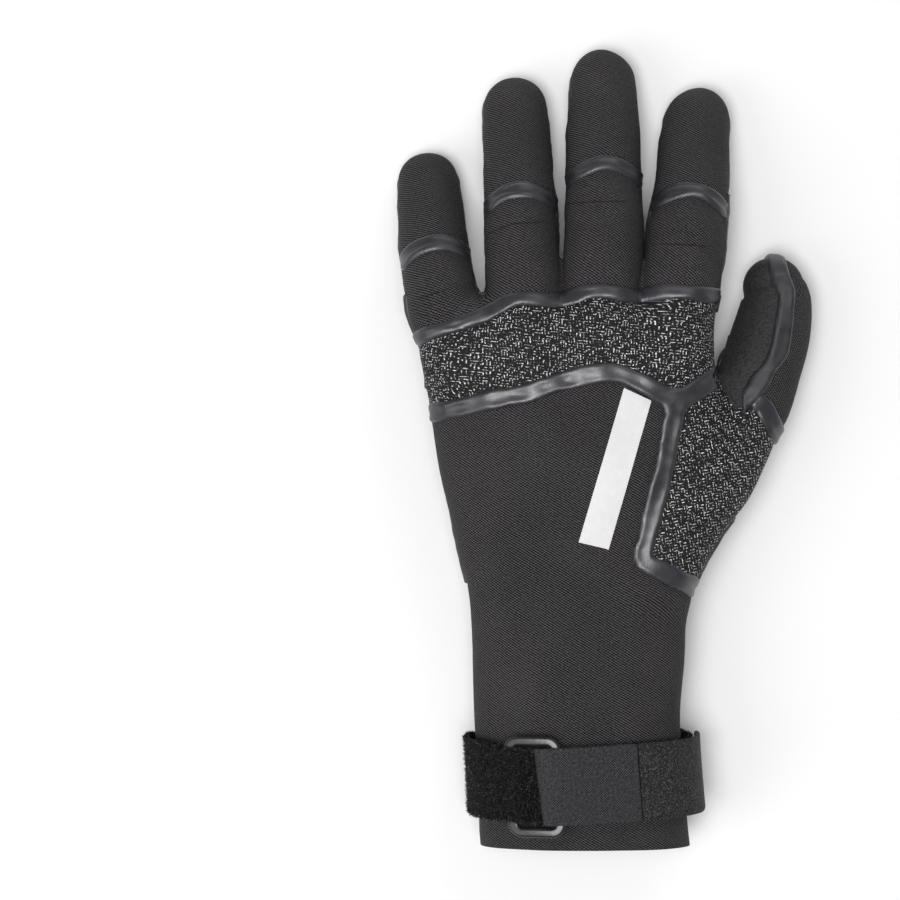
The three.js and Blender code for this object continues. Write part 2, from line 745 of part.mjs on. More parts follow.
// The ring: an oblong frame, bent to the wrist.
function ringSolid() {
  const outline = (Outline, width, length, radius) => {
    const shape = new Outline();
    const straight = length / 2 - radius;
    const level = width / 2 - radius;
    shape.absarc(level, straight, radius, 0, Math.PI / 2);
    shape.absarc(-level, straight, radius, Math.PI / 2, Math.PI);
    shape.absarc(-level, -straight, radius, Math.PI, Math.PI * 1.5);
    shape.absarc(level, -straight, radius, Math.PI * 1.5, Math.PI * 2);
    shape.closePath();
    return shape;
  };
  const frame = outline(THREE.Shape, ringWidth, ringLength, ringCorner);
  const inside = [ringWidth, ringLength, ringCorner + ringBar].map((size) => size - 2 * ringBar);
  frame.holes.push(outline(THREE.Path, ...inside));
  const depth = ringThickness;
  const geometry = new THREE.ExtrudeGeometry(frame, { depth, bevelEnabled: false, curveSegments: 4 });
  const points = geometry.attributes.position;
  for (let i = 0; i < points.count; i += 1) {
    const height = layerFloors[1].floor + points.getZ(i);
    const bent = overWrist(points.getX(i), strapMiddle(0) + points.getY(i), height).point;
    points.setXYZ(i, bent.x, bent.y, bent.z);
  }
  return solidOf(geometry);
}

// A keeper: a short webbing bridge across the strap, sewn down at both ends. Its rows
// hold a share of its half length and of its height.
const keeperForm = [
  { reach: -1, height: 0 },
  { reach: -0.82, height: 0 },
  { reach: -0.78, height: 1 },
  { reach: 0.78, height: 1 },
  { reach: 0.82, height: 0 },
  { reach: 1, height: 0 },
];
function keeperSolid(share) {
  const around = share * girth;
  const halfLength = strapWidth / 2 + keeperSeam;
  const low = seat;
  const high = strapGap + pileThickness + seat;
  const at = (across, y, height) => {
    const { point, tangent } = overWrist(around, strapMiddle(around) + y, height);
    return point.addScaledVector(tangent, across);
  };
  const rings = keeperForm.map((row, i) => {
    const y = row.reach * halfLength;
    const floor = low + row.height * (high - low);
    const half = keeperWidth / 2;
    const top = floor + keeperThickness;
    return [at(-half, y, floor), at(half, y, floor), at(half, y, top), at(-half, y, top)];
  });
  return loft(rings);
}

// The glove

const cloth = (color, roughness) => new THREE.MeshStandardMaterial({ color, roughness, metalness: 0 });
const looks = {
  jersey: cloth(0x3a393a, 0.85),
  knit: cloth(0x4a494b, 0.8),
  grain: cloth(0x29292a, 0.7),
  tape: cloth(0x33353d, 0.35),
  pile: cloth(0x151515, 0.95),
  webbing: cloth(0x27272a, 0.75),
  hooks: cloth(0x202022, 0.8),
  plastic: cloth(0x26262a, 0.4),
  label: cloth(0x9a9ca2, 0.5),
  print: cloth(0xf0f0f0, 0.5),
};

const glove = new THREE.Group();
function add(name, solid, look) {
  const mesh = new THREE.Mesh(geometryOf(solid), look);
  mesh.name = name;
  glove.add(mesh);
}

add("back_panel", panelAt(upperPanels, handSpot(0, 0.4)), looks.jersey);
add("knuckle_panel", panelAt(upperPanels, handSpot(0, 0.93)), looks.knit);
add("thumb_gusset_panel", panelAt(upperPanels, handSpot(0.32, 0.62)), looks.knit);
add("thumb_back_panel", panelAt(upperPanels, tubeSpot(thumbRows, 0.95)), looks.jersey);
for (const { name, rows } of fingerTubes) {
  add(`${name}_back_panel`, panelAt(upperPanels, tubeSpot(rows, 0.5)), looks.jersey);
  add(`${name}_tip_panel`, panelAt(upperPanels, tubeSpot(rows, 0.95)), looks.jersey);
}
add("palm_panel", panelAt(lowerPanels, handSpot(-0.2, 0.75)), looks.grain);
add("thumb_palm_panel", panelAt(lowerPanels, tubeSpot(thumbRows, 0.4)), looks.grain);
add("wrist_panel", panelAt(lowerPanels, handSpot(0.1, 0.3)), looks.knit);

add("knuckle_tape", largest(upperTape([bandPrism(knuckleLine, knuckleTapeWidth)])), looks.tape);
add("back_tape", largest(upperTape([backNetwork])), looks.tape);
add("thumb_tape", largest(upperTape([thumbBand])), looks.tape);
for (const { name, line } of fingerJoints) {
  add(`${name}_tape`, largest(upperTape([bandPrism(line, fingerTapeWidth)])), looks.tape);
}
add("edge_tape", largest(tapeSkin.intersect(edgeBand).subtract(thumbSideWrist)), looks.tape);
add("palm_tape", largest(lowerTape([palmNetwork])), looks.tape);

add("strap_pile", strapSolid(pileRows, pileThickness), looks.pile);
add("strap_webbing", strapSolid(webRows, webThickness), looks.webbing);
add("strap_hook_tab", strapSolid(hookRows, webThickness), looks.hooks);
add("strap_ring", ringSolid(), looks.plastic);
add("strap_keeper_thumb_side", keeperSolid(thumbSideKeeper), looks.webbing);
add("strap_keeper_palm_side", keeperSolid(palmSideKeeper), looks.webbing);

const labelLeft = labelPlace - labelWidth / 2;
const labelColumn = rectangle(labelLeft, seat, labelLeft + labelWidth, labelLength);
add("wrist_label", patchSkin.intersect(labelColumn).intersect(belowEdge), looks.label);
add("back_print", patchSkin.intersect(prism(inPlan(printCorners))).subtract(aboveEdge), looks.print);

// The origin goes under the middle of the glove.
const bounds = new THREE.Box3().setFromObject(glove);
glove.position.set(-(bounds.min.x + bounds.max.x) / 2, -(bounds.min.y + bounds.max.y) / 2, -bounds.min.z);

export default glove;
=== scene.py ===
"""A neoprene diving glove for the left hand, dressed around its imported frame."""

import bpy
import numpy as np
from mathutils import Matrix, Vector


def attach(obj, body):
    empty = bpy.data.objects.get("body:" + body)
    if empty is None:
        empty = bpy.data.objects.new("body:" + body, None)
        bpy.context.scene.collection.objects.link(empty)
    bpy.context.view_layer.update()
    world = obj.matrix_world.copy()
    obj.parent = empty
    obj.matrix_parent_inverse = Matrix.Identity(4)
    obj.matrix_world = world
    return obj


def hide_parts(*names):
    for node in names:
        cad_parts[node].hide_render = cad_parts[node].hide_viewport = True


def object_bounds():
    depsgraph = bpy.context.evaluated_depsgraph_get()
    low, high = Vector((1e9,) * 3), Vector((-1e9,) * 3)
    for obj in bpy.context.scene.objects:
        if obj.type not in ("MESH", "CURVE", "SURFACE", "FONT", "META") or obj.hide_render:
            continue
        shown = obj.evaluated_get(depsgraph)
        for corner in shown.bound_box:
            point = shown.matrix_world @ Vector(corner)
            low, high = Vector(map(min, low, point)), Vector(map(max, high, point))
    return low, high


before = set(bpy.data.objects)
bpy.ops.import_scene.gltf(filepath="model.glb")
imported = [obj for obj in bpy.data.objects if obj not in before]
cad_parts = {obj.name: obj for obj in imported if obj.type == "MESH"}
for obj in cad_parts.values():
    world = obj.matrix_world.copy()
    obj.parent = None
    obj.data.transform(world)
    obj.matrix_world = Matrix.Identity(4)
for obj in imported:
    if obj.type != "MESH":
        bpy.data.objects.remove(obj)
cad_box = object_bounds()

# The neoprene form: one hollow skin of hand, four curled fingers and thumb, which the
# maker cuts into panels and glues edge to edge. Sizes are millimetres, from the middle of
# the cuff's rim; the skin is the zero of a level that is negative inside the glove.
ORIGIN = np.array([7.6745, 147.982, -0.754])  # the frame's origin, seen from the rim
HAND_LENGTH = 201.0
PALM_WIDTH = 108.0
PALM_THICKNESS = 38.0
WRIST_WIDTH = 77.0
WRIST_THICKNESS = 44.0
ARCH_RISE = 13.0
NEOPRENE = 4.5
WRIST_HEIGHT = 27.0  # the wrist's middle over the ground
SQUARENESS = 2.3
KNUCKLE_END = 9.0  # how far the hand's end is rounded off
ROOT_END = 10.0  # and a tube's root, inside the hand
FAR = 60.0  # a level that stands for well outside
FINGER_BLEND = 1.6
KNUCKLE_BLEND = 7.0
THUMB_BLEND = 12.0
TUBE_SPARE = 34.0  # how far from a tube its level is still worked out
SKIN_BOX = ((-74, -5, -3), (92, 304, 64))
SKIN_STEP = 1.15

HAND_COLUMNS = ("at", "shift", "wrist", "palm", "flat", "deep", "rise", "edge", "top")
HAND_FORM = np.array([
    (0, 0.004, 1.015, 0, 1.02, 0, 0, -0.58, 0),
    (0.21, -0.022, 1, 0, 1, 0, 0.03, -0.5, 0),
    (0.385, -0.022, 0.8, 0.167, 0.8, 0.17, 0.2, -0.64, 0),
    (0.47, -0.021, 0.55, 0.365, 0.55, 0.4, 0.36, -0.85, -0.1),
    (0.55, -0.022, 0.33, 0.603, 0.33, 0.66, 0.52, -1.5, -0.25),
    (0.64, -0.023, 0.12, 0.828, 0.12, 0.87, 0.7, -1.5, -0.3),
    (0.73, -0.03, 0, 0.965, 0, 0.97, 0.85, -1.5, -0.32),
    (0.82, -0.043, 0, 0.985, 0, 0.93, 0.95, -1.5, -0.34),
    (0.91, -0.062, 0, 0.982, 0, 0.84, 1, -1.5, -0.36),
    (1, -0.09, 0, 0.95, 0, 0.66, 0.98, -1.5, -0.38),
])

# length from the web, width, thickness, and the middle line's places over the palm
FINGERS = {
    "pinky": (57.3, 25.2, 22.5, -0.43, -0.503, -0.537, 0.355),
    "ring": (85.2, 26.4, 24.0, -0.2, -0.217, -0.235, 0.466),
    "middle": (95.5, 28.2, 25.0, 0.03, 0.063, 0.068, 0.514),
    "index": (81.2, 27.9, 24.5, 0.27, 0.343, 0.397, 0.482),
}
FINGER_ROOT = 26.0
FINGER_TIP = 0.46
FINGER_FORM = np.array([  # along, width, thickness, fall, pad's edge
    (0.0, 0.84, 0.92, -0.06, -0.66),
    (0.28, 1.03, 1.0, 0.06, -0.46),
    (0.48, 1.02, 1.02, 0.25, -0.4),
    (0.66, 1.0, 0.99, 0.5, -0.4),
    (0.84, 0.96, 0.95, 0.78, -0.4),
    (1.0, 0.89, 0.88, 1.0, -0.4),
])

THUMB_LENGTH = 121.0
THUMB_WIDTH = 30.5
THUMB_THICKNESS = 28.0
THUMB_REACH = 71.0
THUMB_ROOT = 0.483 * HAND_LENGTH
THUMB_TIP_LIFT = 2.4
THUMB_FORM = np.array([  # along, out, width, thickness, fall, pad's side, pad's edge
    (0.0, 0.34, 0.78, 0.95, 0.0, 0.3, -0.45),
    (0.156, 0.455, 0.9, 1.05, 0.1, 0.3, -0.4),
    (0.311, 0.66, 0.98, 1.1, 0.24, 0.33, -0.35),
    (0.467, 0.8, 1.0, 1.07, 0.4, 0.32, -0.1),
    (0.56, 0.868, 1.0, 1.03, 0.5, 0.28, 0.9),
    (0.65, 0.922, 1.0, 1.0, 0.6, 0.24, 1.6),
    (0.75, 0.98, 0.97, 0.95, 0.76, 0.2, 1.6),
    (0.86, 1.014, 0.87, 0.88, 0.92, 0.2, 1.6),
    (0.91, 1.003, 0.76, 0.82, 1.0, 0.2, 1.6),
])


def smooth_rows(rows, steps):
    """The rows joined by one Catmull-Rom curve, sampled in even steps."""
    at = np.linspace(0, len(rows) - 1, steps + 1)
    i = np.minimum(at.astype(int), len(rows) - 2)
    t = (at - i)[:, None]
    p, q = rows[np.maximum(i - 1, 0)], rows[i]
    r, s = rows[i + 1], rows[np.minimum(i + 2, len(rows) - 1)]
    return q + 0.5 * t * (r - p + t * (2 * p - 5 * q + 4 * r - s + t * (3 * (q - r) + s - p)))


def unit(vectors):
    """The vectors, each made one long."""
    return vectors / np.maximum(np.linalg.norm(vectors, axis=-1, keepdims=True), 1e-9)


def lengths_along(points):
    """The length of the way from the first point to each."""
    return np.concatenate([[0], np.cumsum(np.linalg.norm(np.diff(points, axis=0), axis=1))])


def edges_of(faces):
    """Each side of each face, as a pair of corner numbers."""
    sides = faces.shape[1]
    return np.concatenate([faces[:, [k, (k + 1) % sides]] for k in range(sides)])


def bent(value, power):
    """The value's size raised to a power, with its sign kept."""
    return np.sign(value) * np.abs(value) ** power


def tube(centre, half_width, half_thickness, tip, extra):
    """Sections of a finger: middle line, side and upward directions, half sizes, and reach."""
    along = unit(np.gradient(centre, axis=0))
    across = unit(np.cross(along, (0.0, 0.0, 1.0)))
    return {
        "centre": centre, "along": along, "across": across, "up": np.cross(across, along),
        "half_width": half_width, "half_thickness": half_thickness, "tip": tip,
        "reach": lengths_along(centre), "extra": extra,
    }


hand = smooth_rows(HAND_FORM, 108)
hand_rows = {name: hand[:, k] for k, name in enumerate(HAND_COLUMNS)}
hand_rows["y"] = hand_rows["at"] * HAND_LENGTH
hand_rows["x"] = hand_rows["shift"] * PALM_WIDTH
hand_rows["z"] = WRIST_HEIGHT + hand_rows["rise"] * ARCH_RISE
hand_rows["half_width"] = (hand_rows["wrist"] * WRIST_WIDTH + hand_rows["palm"] * PALM_WIDTH) / 2
hand_rows["half_thickness"] = (
    hand_rows["flat"] * WRIST_THICKNESS + hand_rows["deep"] * PALM_THICKNESS
) / 2
HAND_SECTION = ("x", "z", "half_width", "half_thickness")

tubes = {}
for name, (length, width, thickness, knuckle, middle, tip, joint) in FINGERS.items():
    rows = smooth_rows(FINGER_FORM, 60)
    s = rows[:, 0]
    round_tip = width * FINGER_TIP
    root_height = WRIST_HEIGHT + ARCH_RISE
    low = thickness / 2 * FINGER_FORM[-1, 2]
    out = knuckle * (1 - s) * (1 - 2 * s) + middle * 4 * s * (1 - s) + tip * s * (2 * s - 1)
    run = FINGER_ROOT + length - round_tip
    centre = np.stack([
        out * PALM_WIDTH,
        HAND_LENGTH - FINGER_ROOT + s * run,
        root_height - rows[:, 3] * (root_height - low),
    ], axis=1)
    tubes[name] = tube(centre, rows[:, 1] * width / 2, rows[:, 2] * thickness / 2, round_tip, rows)
rows = smooth_rows(THUMB_FORM, 72)
root_height = WRIST_HEIGHT + ARCH_RISE / 2
low = THUMB_THICKNESS / 2 * THUMB_FORM[-1, 3] + THUMB_TIP_LIFT
centre = np.stack([
    rows[:, 1] * THUMB_REACH,
    THUMB_ROOT + rows[:, 0] * THUMB_LENGTH,
    root_height - rows[:, 4] * (root_height - low),
], axis=1)
tubes["thumb"] = tube(
    centre, rows[:, 2] * THUMB_WIDTH / 2, rows[:, 3] * THUMB_THICKNESS / 2,
    THUMB_LENGTH * (1 - THUMB_FORM[-1, 0]), rows,
)


def hand_at(points):
    """Offsets from the hand's middle line and the half sizes of its section, at each point."""
    at = np.clip(points[:, 1], 0, HAND_LENGTH)
    x, z, wide, thick = (np.interp(at, hand_rows["y"], hand_rows[name]) for name in HAND_SECTION)
    return points[:, 0] - x, points[:, 2] - z, wide, thick


def smooth_least(one, other, blend):
    """The smaller of two levels, rounded where they are within blend of each other."""
    near = np.maximum(blend - np.abs(one - other), 0) / blend
    return np.minimum(one, other) - near * near * blend / 4


def hand_level(points):
    """How far outside the hand's squared oval each point is; the knuckle end is rounded off."""
    across, up, wide, thick = hand_at(points)
    a = np.maximum(np.abs(across) / wide, 1e-4)
    b = np.maximum(np.abs(up) / thick, 1e-4)
    oval = (a**SQUARENESS + b**SQUARENESS) ** (1 / SQUARENESS)
    steep = np.hypot(a ** (SQUARENESS - 1) / wide, b ** (SQUARENESS - 1) / thick)
    slope = steep * oval ** (1 - SQUARENESS)
    end = points[:, 1] - HAND_LENGTH
    return -smooth_least(-(oval - 1) / slope, -end, KNUCKLE_END)


def tube_at(points, form):
    """Each point's place on a tube: section number, offset across and up, reach, half sizes."""
    centre = form["centre"]
    apart = (centre**2).sum(1)[None, :] - 2 * points @ centre.T
    i = apart.argmin(1)
    past = ((points - centre[i]) * form["along"][i]).sum(1)
    reach = form["reach"][i] + past
    rows = np.arange(len(centre))
    number = np.interp(reach, form["reach"], rows)
    place = [np.interp(number, rows, centre[:, k]) for k in range(3)]
    offset = points - np.stack(place, axis=1)
    across = (offset * form["across"][i]).sum(1)
    up = (offset * form["up"][i]).sum(1)
    wide, thick = (np.interp(number, rows, form[name]) for name in ("half_width", "half_thickness"))
    return number, across, up, reach, wide, thick


def tube_level(points, form):
    """How far outside a tube each point is: an oval section that ends in a rounded tip."""
    _, across, up, reach, wide, thick = tube_at(points, form)
    over = np.maximum(reach - form["reach"][-1], 0) / form["tip"]
    short = np.maximum(-reach, 0) / ROOT_END
    parts = [across / wide, up / thick, over, short]
    scales = [wide, thick, form["tip"], ROOT_END]
    oval = np.sqrt(sum(part**2 for part in parts) + 1e-8)
    slope = np.sqrt(sum((part / scale) ** 2 for part, scale in zip(parts, scales)) + 1e-10)
    return (oval - 1) * oval / slope


def near_tube(points, form):
    """Which points are in the tube's box, made larger all round."""
    low = form["centre"].min(0) - TUBE_SPARE
    high = form["centre"].max(0) + TUBE_SPARE
    return ((points > low) & (points < high)).all(1)


def finger_levels(points):
    """The level of each finger and the thumb alone, one column each."""
    levels = np.full((len(points), len(tubes)), FAR)
    for k, form in enumerate(tubes.values()):
        near = near_tube(points, form)
        levels[near, k] = tube_level(points[near], form)
    return levels


def glove_level(points):
    """The smooth union of hand, fingers and thumb; the fingers' own creases stay tight."""
    levels = finger_levels(points)
    fingers = np.full(len(points), FAR)
    for k in range(len(FINGERS)):
        fingers = smooth_least(fingers, levels[:, k], FINGER_BLEND)
    level = smooth_least(hand_level(points), fingers, KNUCKLE_BLEND)
    return smooth_least(level, levels[:, -1], THUMB_BLEND)


def upwards(level, points):
    """The level and its slope at each point, from small steps along the three axes."""
    here = level(points)
    step = 0.05
    return here, np.stack([(level(points + step * way) - here) / step for way in np.eye(3)], axis=1)


def skin_of(level, low, high, step):
    """Quads of the zero surface: one corner in each cell of a grid that the surface passes."""
    axes = [np.arange(a, b + step, step) for a, b in zip(low, high)]
    shape = tuple(len(axis) for axis in axes)
    nodes = np.stack(np.meshgrid(*axes, indexing="ij"), axis=-1).reshape(-1, 3)
    inside = (level(nodes) < 0).reshape(shape)
    corners = [
        inside[i:shape[0] - 1 + i, j:shape[1] - 1 + j, k:shape[2] - 1 + k]
        for i in (0, 1) for j in (0, 1) for k in (0, 1)
    ]
    mixed = np.any(corners, axis=0) & ~np.all(corners, axis=0)
    number = np.full(mixed.shape, -1)
    number[mixed] = np.arange(mixed.sum())
    points = (np.argwhere(mixed) + 0.5) * step + np.array([axis[0] for axis in axes])
    quads = []
    for axis in range(3):
        here = np.moveaxis(inside, axis, 0)
        cells = np.moveaxis(number, axis, 0)
        low, high = here[:-1, 1:-1, 1:-1], here[1:, 1:-1, 1:-1]
        i, j, k = np.nonzero(low != high)
        quad = np.stack([cells[i, j + a, k + b] for a, b in ((0, 0), (1, 0), (1, 1), (0, 1))], axis=1)
        turned = low[i, j, k] != (axis == 1)
        quad[~turned] = quad[~turned][:, ::-1]
        quads.append(quad)
    return points, np.concatenate(quads)


def sums_at(number, values, count):
    """The sum, at each of count numbers, of the rows of values that carry it."""
    return np.stack([np.bincount(number, column, minlength=count) for column in values.T], axis=1)


def relaxed(points, quads, level, rounds):
    """The corners drawn to the middle of their neighbours, then back on to the zero surface."""
    ends = edges_of(quads)
    count = np.bincount(ends[:, 0], minlength=len(points))[:, None] + 1e-9
    for _ in range(rounds):
        points = 0.4 * points + 0.6 * sums_at(ends[:, 0], points[ends[:, 1]], len(points)) / count
        for _ in range(2):
            here, slope = upwards(level, points)
            points = points - slope * (here / np.maximum((slope**2).sum(1), 0.04))[:, None]
    return points


skin_points, skin_quads = skin_of(glove_level, *SKIN_BOX, SKIN_STEP)
skin_points = relaxed(skin_points, skin_quads, glove_level, 4)
skin_faces = np.concatenate([skin_quads[:, [0, 1, 2]], skin_quads[:, [0, 2, 3]]])

# The seams: where the panels' edges meet, seen from above, and the side seam that parts
# the back's cloth from the palm's. The skin is cut along every one of them.
SEAMS = {
    "knuckle": [
        (-0.68, 0.9), (-0.545, 0.937), (-0.37, 0.963), (-0.3, 0.988), (-0.22, 1.003),
        (-0.12, 0.995), (0.03, 1.018), (0.161, 1.004), (0.27, 1.015), (0.6, 1.0),
    ],
    "back": [
        (-0.66, 0.782), (-0.507, 0.794), (-0.233, 0.826), (0.0, 0.863), (0.1, 0.867),
        (0.305, 0.813), (0.56, 0.9),
    ],
    "gusset": [(0.305, 0.823), (0.264, 0.705), (0.177, 0.524), (0.373, 0.474), (0.56, 0.43)],
    "thumb_joint": [
        (0.44, 0.87), (0.47, 0.83), (0.507, 0.797), (0.55, 0.805), (0.592, 0.82),
        (0.665, 0.747), (0.76, 0.68),
    ],
    "palm_thumb": [
        (0.52, 0.93), (0.401, 0.835), (0.312, 0.782), (0.23, 0.729), (0.168, 0.654),
        (0.158, 0.558), (0.175, 0.505),
    ],
    "palm_wrist": [(-0.7, 0.507), (-0.223, 0.512), (0.175, 0.514), (0.7, 0.514)],
}
SEAM_EASE = 4


def eased(line, reach):
    """The line sampled every millimetre, each sample the middle of those within reach."""
    line = np.array(line) * (PALM_WIDTH, HAND_LENGTH)
    length = lengths_along(line)
    at = np.linspace(-reach, length[-1] + reach, int(length[-1]) + 2 * reach + 1)
    samples = np.stack([np.interp(at, length, line[:, k]) for k in range(2)], axis=1)
    share = np.full(2 * reach + 1, 1 / (2 * reach + 1))
    return np.stack([np.convolve(column, share, "valid") for column in samples.T], axis=1)


seam_lines = {name: eased(line, SEAM_EASE) for name, line in SEAMS.items()}


def beside(points, line):
    """Signed distance in plan from a seam line; positive on the left of the line's way."""
    best = np.full(len(points), 1e9)
    side = np.ones(len(points))
    for start, end in zip(line[:-1:3], line[3::3]):
        way = end - start
        offset = points[:, :2] - start
        t = np.clip(offset @ way / (way @ way), 0, 1)
        distance = np.hypot(*(offset - t[:, None] * way).T)
        closer = distance < best
        best[closer] = distance[closer]
        side[closer] = np.sign(way[0] * offset[closer, 1] - way[1] * offset[closer, 0])
    return best * side


def least(level, *others):
    """The smallest of several levels at each point."""
    for other in others:
        level = np.minimum(level, other)
    return level


PALM_SPARE = 6  # how far the palm's cloth may reach past the half width, and a finger's
FINGER_SPARE = 1.5
LEAF_EDGE = np.array([  # the right edge of the grip cloth that shows on the thumb from above
    (52.5, 157), (54.7, 160.2), (62.5, 168.8), (69.6, 180.2), (72.7, 191.5),
])
LEAF_LEFT = 48.2
LEAF_FOOT = np.array([54.8, 160.2])  # a corner of the leaf's lower edge, and that edge's slope
LEAF_FOOT_SLOPE = np.array([0.9, 0.44])
LEAF_TOP = (174, 190)  # between these the leaf gives way to the thumb's own rim


def palm_side(points):
    """How far inside the palm side's cloth each point is, in millimetres from the side seam."""
    across, up, wide, thick = hand_at(points)
    edge, top = (np.interp(points[:, 1], hand_rows["y"], hand_rows[name]) for name in ("edge", "top"))
    past = wide + PALM_SPARE - across
    level = least(across - edge * wide, top * thick - up, past, HAND_LENGTH - points[:, 1])
    for name, form in tubes.items():
        near = near_tube(points, form)
        number, across, up, reach, wide, thick = tube_at(points[near], form)
        rows = np.arange(len(form["reach"]))
        top = np.interp(number, rows, form["extra"][:, -1])
        if name != "thumb":
            spare = wide + FINGER_SPARE
            rim = least(top * thick - up, spare - across, spare + across, reach)
            level[near] = np.maximum(level[near], rim)
            continue
        x, y = points[near, 0], points[near, 1]
        outer = np.interp(number, rows, form["extra"][:, -2]) * wide - across
        inner = wide + np.clip((y - LEAF_TOP[0]) / 2, FINGER_SPARE, PALM_SPARE) + across
        rim = least(top * thick - up, outer, inner, reach)
        right = (np.interp(y, LEAF_EDGE[:, 1], LEAF_EDGE[:, 0]) - x) * 0.8
        foot = (x - LEAF_FOOT[0]) * LEAF_FOOT_SLOPE[0] + (y - LEAF_FOOT[1]) * LEAF_FOOT_SLOPE[1]
        leaf = least(right, foot, x - LEAF_LEFT, reach, up + 0.6 * thick)
        leaf = np.maximum(least(-0.1 * thick - up, outer, inner), leaf)
        upper = np.clip((y - LEAF_TOP[0]) / 10, 0, 1)
        rim = np.where(y < LEAF_TOP[1], leaf * (1 - upper) + rim * upper, rim)
        level[near] = np.maximum(level[near], rim)
    return level


JOINT_BOW = 9.0


def past_joint(points, name):
    """How far past a finger's cross seam each point is; the seam bows towards the tip."""
    length, joint = FINGERS[name][0], FINGERS[name][6]
    form = tubes[name]
    i = np.searchsorted(form["centre"][:, 1], HAND_LENGTH + joint * length)
    along = form["along"][i][:2] / np.hypot(*form["along"][i][:2])
    offset = points[:, :2] - form["centre"][i][:2]
    across = offset @ np.array([along[1], -along[0]]) / (form["half_width"][i] + 3)
    return offset @ along + JOINT_BOW * np.minimum(across**2, 1.2)


def cut_along(table, faces, level):
    """Splits each triangle that the level's zero line crosses, so that the line becomes edges.
    The corner that stands alone keeps a small triangle, and the rest becomes two."""
    above = level > 0
    sides = above[faces].sum(1)
    mixed = (sides == 1) | (sides == 2)
    crossed = faces[mixed]
    lone = (above[crossed] == (sides[mixed] == 1)[:, None]).argmax(1)
    a, b, c = np.take_along_axis(crossed, (lone[:, None] + np.arange(3)) % 3, axis=1).T
    pairs = np.sort(np.concatenate([np.stack([a, b], axis=1), np.stack([a, c], axis=1)]), axis=1)
    pairs, number = np.unique(pairs, axis=0, return_inverse=True)
    number = number.reshape(-1) + len(table)
    low, high = level[pairs[:, 0]], level[pairs[:, 1]]
    share = np.clip(low / (low - high), 0.02, 0.98)[:, None]
    middle = table[pairs[:, 0]] * (1 - share) + table[pairs[:, 1]] * share
    ab, ac = number[:len(a)], number[len(a):]
    new = [np.stack(corners, axis=1) for corners in ((a, ab, ac), (ab, b, c), (ab, c, ac))]
    return np.concatenate([table, middle]), np.concatenate([faces[~mixed], *new])


def normals_of(points, faces):
    """The outward direction at each point, the sum of its triangles' own."""
    a, b, c = (points[faces[:, k]] for k in range(3))
    turn = np.cross(b - a, c - a)
    return unit(sums_at(faces.T.reshape(-1), np.tile(turn, (3, 1)), len(points)))


def waves(points, size, seed):
    """A soft uneven field between about -1 and 1: six sine waves in random directions."""
    draw = np.random.default_rng(seed)
    ways = unit(draw.normal(size=(6, 3))) * (2 * np.pi / (size * draw.uniform(0.7, 1.6, (6, 1))))
    return np.sin(points @ ways.T + draw.uniform(0, 6.28, 6)).sum(1) / 2.6


JOIN_SINK = 0.9  # the glued edges draw the cloth in
JOIN_REACH = 4.0
SOFTNESS = 0.35


def seams_from(points):
    """How far the points are from the side seam and each seam line, and from each finger."""
    apart = finger_levels(points)
    plan = {name: beside(points, line) for name, line in seam_lines.items()}
    return palm_side(points), plan, apart, apart[:, :-1].argmin(1)


# every seam draws the skin in, and the whole skin is a little uneven
side, plan, apart, nearest = seams_from(skin_points)
upper = np.clip(-side / 4, 0, 1)
lower = np.clip(side / 4, 0, 1)
gathers = [  # the distance from a seam, and how deep and where it draws the skin in
    (plan["knuckle"], 1.1 * upper * (skin_points[:, 0] < 52)),
    (plan["back"], upper),
    (plan["gusset"], upper * (plan["back"] < 4)),
    (plan["thumb_joint"], upper * (apart[:, 4] < 3)),
    (plan["palm_thumb"], 0.8 * lower),
    (plan["palm_wrist"], 0.6 * lower),
    (side, 0.6),
]
for k, name in enumerate(FINGERS):
    gathers.append((past_joint(skin_points, name), 1.2 * upper * (nearest == k)))
sunk = np.max([share * np.exp(-(distance / JOIN_REACH) ** 2) for distance, share in gathers], axis=0)
out = normals_of(skin_points, skin_faces)
skin_points = skin_points + out * (SOFTNESS * waves(skin_points, 26, 3) - JOIN_SINK * sunk)[:, None]

# the cuts, each one a level whose zero is the seam
skin_points, skin_faces = cut_along(skin_points, skin_faces, skin_points[:, 1])
skin_faces = skin_faces[skin_points[skin_faces, 1].mean(1) > 0]
skin_points, skin_faces = cut_along(skin_points, skin_faces, palm_side(skin_points))
for name, line in seam_lines.items():
    skin_points, skin_faces = cut_along(skin_points, skin_faces, beside(skin_points, line))
for k, name in enumerate(FINGERS):
    apart = finger_levels(skin_points)
    if k < 3:
        between = np.where(skin_points[:, 1] > 190, apart[:, k] - apart[:, k + 1], 1.0)
        skin_points, skin_faces = cut_along(skin_points, skin_faces, between)
        apart = finger_levels(skin_points)
    joint = np.where(apart.argmin(1) == k, past_joint(skin_points, name), 9.0)
    skin_points, skin_faces = cut_along(skin_points, skin_faces, joint)
skin_out = normals_of(skin_points, skin_faces)

spot = skin_points[skin_faces].mean(1)
side, plan, apart, nearest = seams_from(spot)
on_thumb = apart[:, 4] < apart[:, 3]
face_panel = np.full(len(spot), "back_panel", dtype="U24")
face_panel[plan["gusset"] > 0] = "thumb_gusset_panel"
face_panel[(plan["back"] > 0) & ~(on_thumb & (plan["thumb_joint"] > 0))] = "knuckle_panel"
face_panel[(plan["thumb_joint"] > 0) & on_thumb] = "thumb_back_panel"
for k, name in enumerate(FINGERS):
    own = (plan["knuckle"] > 0) & (nearest == k) & ~on_thumb
    face_panel[own] = f"{name}_back_panel"
    face_panel[own & (past_joint(spot, name) > 0)] = f"{name}_tip_panel"
face_panel[side > 0] = "palm_panel"
face_panel[(side > 0) & (plan["palm_thumb"] > 0)] = "thumb_palm_panel"
face_panel[(side > 0) & (plan["palm_wrist"] < 0)] = "wrist_panel"


